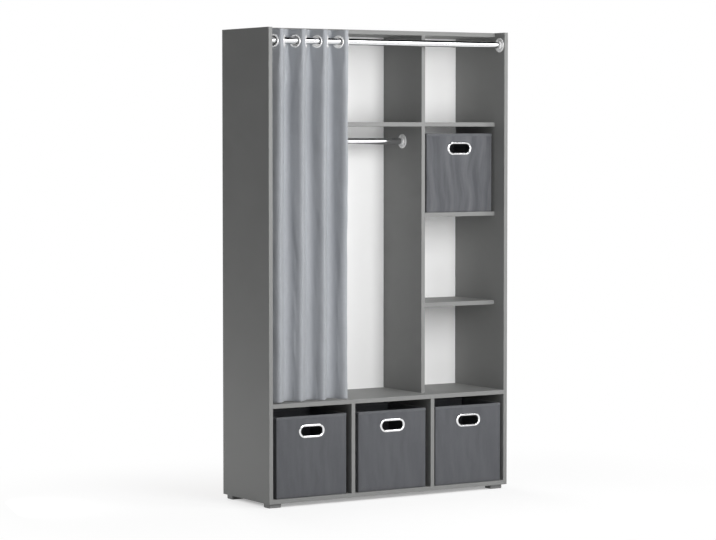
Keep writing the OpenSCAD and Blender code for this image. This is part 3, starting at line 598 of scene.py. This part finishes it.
def addStitches(points, faces, line, normals):
    # short lengths of thread along a line of points that lies on the cloth
    look = stitchLook
    sides, radius, rings = look["sides"], look["radius"], look["rings"]
    pitch = look["length"] + look["gap"]
    steps = [0.0]
    for a, b in zip(line, line[1:]):
        steps.append(steps[-1] + (b - a).length)

    def along(distance):
        low, high = 0, len(steps) - 1
        while high - low > 1:
            i = (low + high) // 2
            low, high = (i, high) if steps[i] <= distance else (low, i)
        t = (distance - steps[low]) / max(steps[high] - steps[low], 1e-9)
        return line[low].lerp(line[high], t), normals[low].lerp(normals[high], t).normalized()

    for n in range(int(steps[-1] / pitch)):
        start, up = along(n * pitch)
        run = along(n * pitch + look["length"])[0] - start
        side = run.cross(up).normalized()
        base = len(points)
        for share, size, lift in rings:
            middle = start + run * share + up * (lift * radius - look["sink"])
            for i in range(sides):
                turn = 2 * pi * (i + 0.5) / sides
                points.append(middle + (side * cos(turn) + up * sin(turn)) * radius * size)
        last = len(rings) - 1
        for ring in range(last):
            for i in range(sides):
                a, b = base + ring * sides + i, base + ring * sides + (i + 1) % sides
                faces.append((a, b, b + sides, a + sides))
        faces.append(tuple(base + i for i in reversed(range(sides))))
        faces.append(tuple(base + last * sides + i for i in range(sides)))


# the curtain hangs in folds from eight eyelets on the rod
curtainLook = {
    "eyelets": 8, "pitch": 0.04625, "firstEyelet": 0.022, "endStep": 0.04066, "tail": 0.0265,
    "holeRadius": 0.0212, "eyeletDrop": 0.0015, "topDrop": 0.003,
    # at the rod, below the heading and at the hem: angles of a fold's two flanks, and its roundings
    "outAngle": (62, 66, 64), "backAngle": (52, 55, 49),
    "crest": (0.0095, 0.004, 0.005), "crestWidening": (0, 10, 9), "crestPower": 4,
    "valley": (0.0095, 0.0045, 0.003), "valleyWidening": (0, 5.5, 13), "valleyPower": 1.4,
    "settle": 0.12, "flankSteps": 10, "arcSteps": 12, "fineSteps": 6,
    # thicknesses, the sewn borders, and the rounded rim with its share of the thickness
    "cloth": 0.0011, "heading": 0.002, "hem": 0.0019, "hemHeight": 0.055, "sideHem": 0.022,
    "rim": 0.0012, "rimShare": 0.45, "rimRow": 0.0004, "stepRow": 0.0009,
    "rowStep": 0.009, "headingStep": 0.0035, "headingSeam": 0.004, "hemSeam": 0.003, "sideSeam": 0.002,
    # how far the cloth moves by itself, from which share of its height on, and in what waves
    "lean": 0.0045, "leanBy": 0.15, "gather": 0.003, "looseBy": 0.35,
    "drift": 0.004, "driftWaves": ((0.55, 1.1, 3.1, 1.0, 0.0), (1.3, 2.3, 8.4, 0.5, 0.0)),
    "swell": 0.16, "swellWaves": ((0.5, 1.3, 5.7, 1.0, 0.0),), "swellShift": 22,
    "dent": 0.0012, "dentFrom": 1 / 30, "dentTo": 0.22, "dentWaves": ((55, 16, 1.3, 1.0, 0.0),),
    "slack": 0.0022, "slackWaves": ((16, 4.5, 9.9, 1.0, 0.0), (24, 5, 2.2, 0.6, 0.4)),
}


def threeWay(values, t):
    # the three values hold at the rod, below the heading and at the hem
    top, middle, bottom = values
    settle = curtainLook["settle"]
    return mix(mix(top, middle, ease(t / settle)), bottom, ease((t - settle) / (1 - settle)))


def bend(first, second, radius, widening, power):
    # a bend between two directions, starting at nought, whose radius grows towards the end that meets
    # a flank coming forwards; also how far its two ends lie from the corner that it rounds off
    forward, backward = min(first, second), max(first, second)
    fineSteps = curtainLook["fineSteps"]
    count = curtainLook["arcSteps"] * fineSteps
    place, arc = Vector((0, 0)), []
    for i in range(count):
        if i % fineSteps == 0:
            arc.append(place.copy())
        a = mix(first, second, (i + 0.5) / count)
        wide = radius * (1 + widening * ((backward - a) / (backward - forward)) ** power)
        place += Vector((cos(a), sin(a))) * wide * (backward - forward) / count
    firstWay, secondWay = Vector((cos(first), sin(first))), Vector((cos(second), sin(second)))
    slant = firstWay.cross(secondWay)
    return arc, place.cross(secondWay) / slant, firstWay.cross(place) / slant


def foldSection(t):
    # the middle line of the cloth seen from above, x from the first eyelet and y from the rod
    look = curtainLook
    out, back = radians(threeWay(look["outAngle"], t)), radians(threeWay(look["backAngle"], t))
    last, steps = look["eyelets"] - 1, look["flankSteps"]
    middles = [Vector((k * look["pitch"], 0)) for k in range(last)]
    middles.append(middles[-1] + Vector((look["endStep"], 0)))
    # odd flanks run back, and the free end of the cloth does so as steeply as it comes forwards
    turns = [-out if k % 2 == 0 else out if k == last else back for k in range(last + 1)]
    ways = [Vector((cos(a), sin(a))) for a in turns]
    line, start = [], -look["tail"]
    for k, (middle, way) in enumerate(zip(middles, ways)):
        stop = look["tail"]
        if k < last:
            # this flank and the next one meet in a corner, which is rounded off
            reach = middles[k + 1].x - middle.x
            apex = reach * sin(turns[k + 1]) / sin(turns[k + 1] - turns[k])
            nextApex = reach * sin(turns[k]) / sin(turns[k + 1] - turns[k])
            kind = "crest" if k % 2 == 0 else "valley"
            arc, before, after = bend(turns[k], turns[k + 1], threeWay(look[kind], t),
                                      threeWay(look[kind + "Widening"], t), look[kind + "Power"])
            stop = abs(apex) - before
        line += [middle + way * mix(start, stop, i / steps) for i in range(steps)]
        end = middle + way * stop
        if k == last:
            line.append(end)
            break
        line += [end + place for place in arc]
        start = after - abs(nextApex)
    return line


def clothRows(top, headingLow, hemLow):
    # heights of the mesh rows, closer together where the cloth changes thickness
    look = curtainLook
    rim, hemTop = look["rim"], hemLow + look["hemHeight"]
    rows = [top, top - look["rimRow"], top - rim]
    for start, stop, step in ((top - rim, headingLow, look["headingStep"]),
                              (headingLow, hemTop, look["rowStep"]), (hemTop, hemLow + rim, look["rowStep"])):
        count = max(1, round((start - stop) / step))
        rows += [mix(start, stop, (i + 1) / count) for i in range(count)]
        rows.append(stop - look["stepRow"])
    rows += [hemLow + look["rimRow"], hemLow]
    return sorted(set(round(z, 5) for z in rows if z >= hemLow), reverse=True)


def hangFolds(z, t, flatAt, firstX, rodY):
    # one row of the hanging cloth: the place of each point and the way that its face looks
    look = curtainLook
    loose = ease(t / look["looseBy"])
    lean = look["lean"] * ease(t / look["leanBy"])
    row = []
    for p, s in zip(foldSection(t), flatAt):
        fold = p.x / look["pitch"]
        drift = look["drift"] * loose * waves(fold, z, look["driftWaves"])
        swell = 1 + look["swell"] * loose * waves(fold + look["swellShift"], z, look["swellWaves"])
        # soft dents below the eyelets and slack along the hem
        dented = ease(t / look["dentFrom"]) * (1 - ease(t / look["dentTo"]))
        dent = look["dent"] * dented * waves(s, z, look["dentWaves"])
        slack = look["slack"] * loose * waves(s, z, look["slackWaves"])
        # towards the hem the folds stand a little closer to the side panel
        gather = look["gather"] * ease(t) * (1 - fold / look["eyelets"])
        row.append((Vector((firstX + p.x + drift - lean - gather, rodY + p.y * swell)), dent + slack))
    # dents and slack move the cloth along its own normal
    moved = []
    for j, (place, push) in enumerate(row):
        way = (row[min(j + 1, len(row) - 1)][0] - row[max(j - 1, 0)][0]).normalized()
        out = Vector((way.y, -way.x))
        moved.append((place + out * push, out))
    return moved


def makeCurtain():
    look = curtainLook
    rod = middleOf("curtain_rod")[0]
    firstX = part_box("left_side")[1].x + look["firstEyelet"]
    headLow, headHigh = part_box("curtain_heading")
    top, headingLow, hemLow = headHigh.z - look["topDrop"], headLow.z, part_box("curtain_cloth")[0].z
    hemTop = hemLow + look["hemHeight"]
    rows = clothRows(top, headingLow, hemLow)
    flatLine = foldSection(0.0)
    columns = len(flatLine)
    flatAt = [0.0]
    for a, b in zip(flatLine, flatLine[1:]):
        flatAt.append(flatAt[-1] + (b - a).length)
    width = flatAt[-1]
    # the place of each eyelet on the flat cloth
    eyelets = []
    for k in range(look["eyelets"]):
        place = Vector((k * look["pitch"], 0))
        near = min(range(columns), key=lambda j: (flatLine[j] - place).length)
        way = (flatLine[min(near + 1, columns - 1)] - flatLine[near - 1]).normalized()
        eyelets.append(Vector((flatAt[near] + (place - flatLine[near]).dot(way), rod.z - look["eyeletDrop"])))

    def thickness(s, z):
        rim = look["rim"]
        side = 1 - ease((min(s, width - s) - look["sideHem"]) / rim)
        hem = 1 - ease((z - hemTop) / rim)
        head = ease((z - headingLow) / rim)
        sewn = mix(look["cloth"], look["hem"], max(side, hem))
        thick = max(sewn, mix(look["cloth"], look["heading"], head))
        edge = min(s, width - s, top - z, z - hemLow)
        return thick * mix(look["rimShare"], 1, ease(edge / rim))

    # the share of the way down from the heading's lower edge to the hem
    drops = [max(0.0, (headingLow - z) / (headingLow - hemLow)) for z in rows]
    grid = [hangFolds(z, t, flatAt, firstX, rod.y) for z, t in zip(rows, drops)]
    points, flat, index = [], [], {}
    for side in (1, -1):
        for i, z in enumerate(rows):
            for j, (place, out) in enumerate(grid[i]):
                q = place + out * side * thickness(flatAt[j], z) / 2
                index[side, i, j] = len(points)
                points.append(Vector((q.x, q.y, z)))
                flat.append((flatAt[j], z))

    # the eyelets' holes: cells inside are left out, and the rings cover their stepped borders
    def inHole(i, j):
        place = Vector((flatAt[j], rows[i]))
        return min((place - eyelet).length for eyelet in eyelets) < look["holeRadius"]

    present = {(i, j) for i in range(len(rows) - 1) for j in range(columns - 1)
               if sum(inHole(*corner) for corner in cellCorners(i, j)) < 3}
    faces = []
    for i, j in sorted(present):
        faces += [clothFace(index, side, i, j) for side in (1, -1)]
        for di, dj, a, b in ((-1, 0, (i, j + 1), (i, j)), (1, 0, (i + 1, j), (i + 1, j + 1)),
                             (0, -1, (i, j), (i + 1, j)), (0, 1, (i + 1, j + 1), (i, j + 1))):
            if (i + di, j + dj) not in present:
                faces.append((index[1, *a], index[1, *b], index[-1, *b], index[-1, *a])[::-1])
    piece = newPiece("curtain", points, faces, curtainCloth, flat)

    # seams: under the heading, above the hem and down both sides, on both faces
    threadPoints, threadFaces = [], []

    def seam(cells):
        for side in (1, -1):
            line = [points[index[side, i, j]] for i, j in cells]
            normals = [(grid[i][j][1] * side).to_3d() for i, j in cells]
            addStitches(threadPoints, threadFaces, line, normals)

    def rowNear(height):
        return min(range(len(rows)), key=lambda i: abs(rows[i] - height))

    def columnNear(s):
        return min(range(columns), key=lambda j: abs(flatAt[j] - s))

    for z in (headingLow + look["headingSeam"], hemTop - look["hemSeam"]):
        seam([(rowNear(z), j) for j in range(1, columns - 1)])
    sideSeam = look["sideHem"] - look["sideSeam"]
    for s in (sideSeam, width - sideSeam):
        seam([(i, columnNear(s)) for i in range(rowNear(headingLow), rowNear(hemTop))])
    threads = newPiece("curtain_stitches", threadPoints, threadFaces, curtainThread)
    return piece, threads, (width, top - hemLow)


curtain, curtainStitches, curtainFlat = makeCurtain()
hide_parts("curtain_heading", "curtain_cloth")
for piece in (curtain, curtainStitches):
    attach(piece, "curtain")
print("curtain made, flat size", [round(v, 3) for v in curtainFlat])


# a bin's cover of fabric, with its grip hole
coverLook = {
    "wall": 0.004, "corner": 0.003, "round": 0.002, "lowRow": 0.0006, "floor": 0.0008,
    "step": 0.0065, "cornerSteps": 4, "gripHalf": 0.030, "gripHole": 0.0205, "gripDrop": 0.057,
    # creases fade out at corners, rim, foot and grip, fan out downwards, and are shallower inside
    "crease": 0.0019, "creaseLift": 0.7, "creaseTop": 0.45, "creaseInside": 0.5,
    "creaseWaves": ((26, 2.6, 0, 1.0, 0), (55, 5.0, 4, 0.5, 0)), "fan": 0.0875, "fanStep": 7, "fanSeed": 2,
    "fadeCorner": 0.02, "fadeRim": 0.05, "fadeFoot": 0.01, "fadeGrip": 0.02, "clearGrip": 0.006,
    "seamRidge": 0.0006, "seamPlace": 0.004, "seamHalf": 0.003, "seamFade": 0.02,
}
binCreases = {"bin_left": 0.75, "bin_middle": 0.7, "bin_right": 0.8, "bin_upper": 1.15}


def roundedLoop(halfX, halfY, radius, step):
    # points round a rectangle with round corners, from the front left one, each with its normal, its
    # side and the share of that side behind it
    steps, loop = coverLook["cornerSteps"], []
    for side, (cx, cy, start) in enumerate(((-1, -1, 180), (1, -1, 270), (1, 1, 0), (-1, 1, 90))):
        middle = Vector((cx * (halfX - radius), cy * (halfY - radius)))
        for i in range(steps + 1):
            a = radians(start + 90 * i / steps)
            out = Vector((cos(a), sin(a)))
            loop.append((middle + out * radius, out, side, 0.0))
        length = 2 * ((halfX if side % 2 == 0 else halfY) - radius)
        count = round(length / step)
        first, out = loop[-1][:2]
        way = Vector((-out.y, out.x))
        for i in range(1, count):
            loop.append((first + way * length * i / count, out, side, i / count))
    return loop


def makeCover(name, seed, cloth):
    look = coverLook
    low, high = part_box(name + "_cover")
    centre, halfX, halfY = middleOf(name + "_cover")
    height, wall = high.z - low.z, look["wall"]
    outline = roundedLoop(halfX, halfY, look["corner"], look["step"])
    columns = len(outline)
    around = [0.0]
    for j in range(1, columns):
        around.append(around[-1] + (outline[j][0] - outline[j - 1][0]).length)
    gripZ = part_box(name + "_rim_binding")[1].z - look["gripDrop"] - low.z

    foot = look["round"]
    count = round((height - 2 * foot) / look["step"])
    levels = [0.0, look["lowRow"], foot]
    levels += [mix(foot, height - foot, (i + 1) / count) for i in range(count)] + [height]
    outerRows = [(z, 1) for z in levels]
    rows = outerRows + [(z, -1) for z in reversed(levels) if z > look["floor"]] + [(look["floor"], -1)]

    def gripDistance(j, z):
        return hypot(max(abs(outline[j][0].x) - look["gripHalf"], 0.0), z - gripZ)

    def crease(j, z, face):
        # fabric that was glued over a board: shallow upright creases, fanning out at the foot
        side, share = outline[j][2:]
        corner = min(share, 1 - share) * 2 * (halfX if side % 2 == 0 else halfY)
        below = height - z
        fade = ease(corner / look["fadeCorner"]) * ease(below / look["fadeRim"]) * ease(z / look["fadeFoot"])
        s = around[j]
        fan = s + look["fan"] * below * ripple(s * look["fanStep"], 0.0, seed + look["fanSeed"])
        depth = mix(look["creaseTop"], 1, 1 - z / height)
        if side == 0:
            depth *= ease((gripDistance(j, z) - look["gripHole"] - look["clearGrip"]) / look["fadeGrip"])
        if face < 0:
            depth *= look["creaseInside"]
        folds = waves(fan, z, look["creaseWaves"], seed) + look["creaseLift"]
        seam = 1 - ease(abs(corner - look["seamPlace"]) / look["seamHalf"])
        ridge = look["seamRidge"] * seam * ease(below / look["seamFade"])
        return look["crease"] * binCreases[name] * fade * depth * folds + ridge

    points, flat, index = [], [], []
    for z, face in rows:
        ring = []
        for j, (place, out, _, _) in enumerate(outline):
            push = crease(j, z, face) if foot <= z < height else 0.0
            if face > 0:
                # the outside runs round at its foot
                inset = foot * (1 - (1 - (1 - z / foot) ** 2) ** 0.5) if z < foot else 0.0
                q = place - out * (inset - push)
            else:
                # the inside keeps clear of itself at the corners
                q = place - out * (wall + push)
                q = Vector((within(q.x, halfX - wall), within(q.y, halfY - wall))) - out * push
            ring.append(len(points))
            points.append(Vector((centre.x + q.x, centre.y + q.y, low.z + z)))
            flat.append((around[j], z if face > 0 else -z))
        index.append(ring)

    # the grip hole goes through the front wall, outside and inside
    mirror = {i: 2 * len(outerRows) - 1 - i for i in range(len(outerRows))}
    hole = {(i, j) for i in range(len(outerRows) - 1) for j in range(columns - 1)
            if outline[j][2] == 0 and outline[j + 1][2] == 0
            and sum(gripDistance(b, levels[a]) < look["gripHole"] for a, b in cellCorners(i, j)) >= 3}
    # what borders the hole moves onto its outline
    for i, j in hole:
        for a, b in cellCorners(i, j):
            if hole.issuperset(cellCorners(a - 1, b - 1)):
                continue
            for v in (index[a][b], index[mirror[a]][b]):
                p = points[v]
                x = p.x - centre.x
                nearX = within(x, look["gripHalf"])
                away = Vector((x - nearX, p.z - low.z - gripZ))
                if away.length > 1e-6:
                    away *= look["gripHole"] / away.length
                    p.x, p.z = centre.x + nearX + away.x, low.z + gripZ + away.y

    faces = []
    holes = hole | {(mirror[i + 1], j) for i, j in hole}
    for i in range(len(rows) - 1):
        for j in range(columns):
            if (i, j) not in holes:
                k = (j + 1) % columns
                faces.append((index[i][j], index[i][k], index[i + 1][k], index[i + 1][j]))
    for i, j in sorted(hole):
        for di, dj, a, b in ((-1, 0, (i, j), (i, j + 1)), (1, 0, (i + 1, j + 1), (i + 1, j)),
                             (0, -1, (i + 1, j), (i, j)), (0, 1, (i, j + 1), (i + 1, j + 1))):
            if (i + di, j + dj) not in hole:
                faces.append((index[a[0]][a[1]], index[b[0]][b[1]],
                              index[mirror[b[0]]][b[1]], index[mirror[a[0]]][a[1]])[::-1])
    faces.append(tuple(reversed(index[0])))
    faces.append(tuple(index[-1]))
    return newPiece(name + "_fabric", points, faces, cloth, flat)


# a folded tape round the rim, a little puffed between its stitches
tapeLook = {"thick": 0.0008, "height": 0.010, "step": 0.006, "puff": 0.0001, "puffPlace": 0.35,
            # its foot in shares of the thickness and in height, and its shoulder from its face and top
            "foot": ((1, 0.0), (0.25, 0.0003), (0, 0.0012)),
            "shoulder": ((0.0, 0.0022), (0.0006, 0.0007), (0.0018, 0.0001)),
            "wave": 0.00035, "waveStep": 40, "waveShare": 0.3, "edge": 0.0004, "edgeStep": 22,
            "edgeSeed": 2.0, "stitchRise": 0.0012, "stitchOut": 0.0001}


def makeTape(name, seed):
    look = tapeLook
    node = name + "_rim_binding"
    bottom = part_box(node)[1].z - look["height"]
    centre, halfX, halfY = middleOf(node)
    thick, tall = look["thick"], look["height"]
    wide = coverLook["wall"] + 2 * thick
    # the section of the tape: up its outside, over the top, down inside, and back under the fold
    outside = [(thick * share, z) for share, z in look["foot"]]
    outside += [(-look["puff"], tall * look["puffPlace"])]
    outside += [(x, tall - below) for x, below in look["shoulder"]]
    section = outside + [(wide / 2, tall)] + [(wide - x, z) for x, z in reversed(outside)]
    section += [(wide - thick, tall - thick), (thick, tall - thick)]
    # points of the section, outside and inside: the last one of the sewn foot, along which the seam
    # runs, and the puffed one above it
    foot, last = len(look["foot"]), 2 * len(outside)
    outerSeam, innerSeam = foot - 1, last - foot + 1
    puffed, sewn = (foot, last - foot), [*range(foot), *range(innerSeam, last + 1)]
    outline = roundedLoop(halfX, halfY, coverLook["corner"] + thick, look["step"])
    columns, rings = len(outline), len(section)
    points, flat, faces, around = [], [], [], 0.0
    for j, (place, out, _, _) in enumerate(outline):
        if j:
            around += (place - outline[j - 1][0]).length
        for n, (inset, z) in enumerate(section):
            wave, edge = 0.0, 0.0
            if n in puffed:
                wave = look["wave"] * ripple(around * look["waveStep"], n * look["waveShare"], seed)
            if n in sewn:
                edge = look["edge"] * ripple(around * look["edgeStep"], look["edgeSeed"], seed)
            q = place - out * (inset - wave)
            q = Vector((within(q.x, halfX - inset), within(q.y, halfY - inset)))
            points.append(Vector((centre.x + q.x, centre.y + q.y, bottom + z + edge)))
            flat.append((around, inset + z))
    for j in range(columns):
        k = (j + 1) % columns
        for n in range(rings):
            m = (n + 1) % rings
            faces.append((j * rings + n, j * rings + m, k * rings + m, k * rings + n)[::-1])
    piece = newPiece(name + "_tape", points, faces, tapeCloth, flat)
    threadPoints, threadFaces = [], []
    for face, n in ((1, outerSeam), (-1, innerSeam)):
        line, normals = [], []
        for j in range(columns + 1):
            out = (outline[j % columns][1] * face).to_3d()
            raised = Vector((0, 0, look["stitchRise"])) + out * look["stitchOut"]
            line.append(points[(j % columns) * rings + n] + raised)
            normals.append(out)
        addStitches(threadPoints, threadFaces, line, normals)
    return piece, newPiece(name + "_stitches", threadPoints, threadFaces, binThread)


# the loose base board in its fabric cover: soft edges and a sewn rim
baseLook = {"steps": 26, "softRows": [0.0, 0.0008, 0.0025, 0.006], "rimWidth": 0.012, "crown": 0.0025,
            "edgeShare": 0.3, "sink": 0.0003, "seamDip": 0.0003, "seamPlace": 0.006, "seamHalf": 0.002,
            "puff": 0.0002, "puffStep": 14, "puffReach": 0.02}


def makeBase(name, seed):
    look = baseLook
    low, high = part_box(name + "_base_board")
    centre, halfX, halfY = middleOf(name + "_base_board")
    thick = high.z - low.z

    def spacing(half):
        edge = [-half + v for v in look["softRows"]]
        reach = half - look["rimWidth"]
        inner = [mix(-reach, reach, i / look["steps"]) for i in range(look["steps"] + 1)]
        return edge + inner + [-v for v in reversed(edge)]

    xs, ys = spacing(halfX), spacing(halfY)
    points, flat, index = [], [], {}
    for side in (1, -1):
        for i, x in enumerate(xs):
            for j, y in enumerate(ys):
                edge = min(halfX - abs(x), halfY - abs(y))
                z = centre.z + side * (thick / 2) * mix(look["edgeShare"], 1, ease(edge / look["crown"]))
                if side > 0:
                    seam = 1 - ease(abs(edge - look["seamPlace"]) / look["seamHalf"])
                    puff = ripple(x * look["puffStep"], y * look["puffStep"], seed)
                    puff *= look["puff"] * ease(edge / look["puffReach"])
                    z += puff - look["seamDip"] * seam - look["sink"]
                index[side, i, j] = len(points)
                points.append(Vector((centre.x + x, centre.y + y, z)))
                flat.append((x, y))
    lastX, lastY = len(xs) - 1, len(ys) - 1
    faces = []
    for i in range(lastX):
        for j in range(lastY):
            faces += [clothFace(index, side, i, j) for side in (1, -1)]
    rim = [(i, 0) for i in range(lastX)] + [(lastX, j) for j in range(lastY)]
    rim += [(i, lastY) for i in range(lastX, 0, -1)] + [(0, j) for j in range(lastY, 0, -1)]
    for a, b in zip(rim, rim[1:] + rim[:1]):
        faces.append((index[1, *a], index[-1, *a], index[-1, *b], index[1, *b]))
    return newPiece(name + "_base", points, faces, binCloth, flat)


firstSeed, seedStep = 10.0, 7.3  # each bin has creases of its own
for number, name in enumerate(bins):
    seed = firstSeed + seedStep * number
    cover = makeCover(name, seed, creaseShadedCloth if name == "bin_upper" else binCloth)
    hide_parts(name + "_cover")
    tape, threads = makeTape(name, seed)
    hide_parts(name + "_rim_binding")
    base = makeBase(name, seed)
    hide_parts(name + "_base_board")
    for piece in (cover, tape, threads, base):
        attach(piece, name)
print("bins made")


# a white floor that takes the unit's shadow, and a white room
floorLook = {"half": 30.0, "bounce": 0.7, "inset": 0.05, "under": 0.85, "near": 0.3, "lit": 0.8,
             "nearReach": 0.05, "farReach": 1.3}
skyLook = {"white": (1, 1, 1, 1), "top": gray(0.02), "from": 0.3, "to": 0.5, "ambient": 0.15}


def seenRays(tree):
    # camera, mirror and glass rays see the bright version, and light bounces off the plain one
    path = addNode(tree, "ShaderNodeLightPath")
    seen = maths(tree, "MAXIMUM", path.outputs["Is Camera Ray"], path.outputs["Is Glossy Ray"])
    return maths(tree, "MAXIMUM", seen, path.outputs["Is Transmission Ray"]), path.outputs["Is Glossy Ray"]


def makeFloor():
    look = floorLook
    half = look["half"]
    mesh = bpy.data.meshes.new("floor")
    mesh.from_pydata([(-half, -half, 0), (half, -half, 0), (half, half, 0), (-half, half, 0)],
                     [], [(0, 1, 2, 3)])
    floor = bpy.data.objects.new("floor", mesh)
    scene.collection.objects.link(floor)
    material, tree, shader, coords = newMaterial("floor")
    tree.nodes.remove(shader)
    # the floor glows by itself far from the unit, and takes its shadow close to it
    high = cadBox[1]
    away = vectorMaths(tree, "ABSOLUTE", coords.outputs["Object"])
    outside = vectorMaths(tree, "SUBTRACT", away, (high[0] - look["inset"], high[1] - look["inset"], 0))
    distance = vectorMaths(tree, "LENGTH", vectorMaths(tree, "MAXIMUM", outside))
    near = ramp(tree, distance, 0.0, look["nearReach"], look["under"], look["near"])
    far = ramp(tree, distance, look["nearReach"], look["farReach"], 1.0, 0.0)
    share = maths(tree, "MULTIPLY", near, far)
    glowing = maths(tree, "MULTIPLY_ADD", share, -look["lit"], 1.0)
    bounce = feed(tree, addNode(tree, "ShaderNodeBsdfDiffuse"), Color=gray(look["bounce"]))
    seen = feed(tree, addNode(tree, "ShaderNodeBsdfDiffuse"), Color=share)
    glow = feed(tree, addNode(tree, "ShaderNodeEmission"), Strength=glowing)
    bright = plugInOrder(tree, addNode(tree, "ShaderNodeAddShader"), (seen.outputs[0], glow.outputs[0]))
    both = plugInOrder(tree, addNode(tree, "ShaderNodeMixShader"),
                       (seenRays(tree)[0], bounce.outputs[0], bright.outputs[0]))
    feed(tree, tree.nodes["Material Output"], Surface=both.outputs[0])
    mesh.materials.append(material)


def makeWorld():
    look = skyLook
    world = bpy.data.worlds.new("studio")
    scene.world = world
    world.use_nodes = True
    tree = world.node_tree
    tree.nodes.clear()
    seen, mirrored = seenRays(tree)
    # polished metal sees a white room with a dark ceiling
    coords = addNode(tree, "ShaderNodeTexCoord")
    up = splitVector(tree, coords.outputs["Generated"])[2]
    ceiling = maths(tree, "MULTIPLY", ramp(tree, up, look["from"], look["to"]), mirrored)
    soft = feed(tree, addNode(tree, "ShaderNodeBackground"), Color=look["white"], Strength=look["ambient"])
    white = feed(tree, addNode(tree, "ShaderNodeBackground"), Strength=1.0,
                 Color=mixColors(tree, ceiling, look["white"], look["top"]))
    both = plugInOrder(tree, addNode(tree, "ShaderNodeMixShader"), (seen, soft.outputs[0], white.outputs[0]))
    feed(tree, addNode(tree, "ShaderNodeOutputWorld"), Surface=both.outputs[0])


makeFloor()
makeWorld()
scene.view_settings.view_transform = "Standard"

print("done")
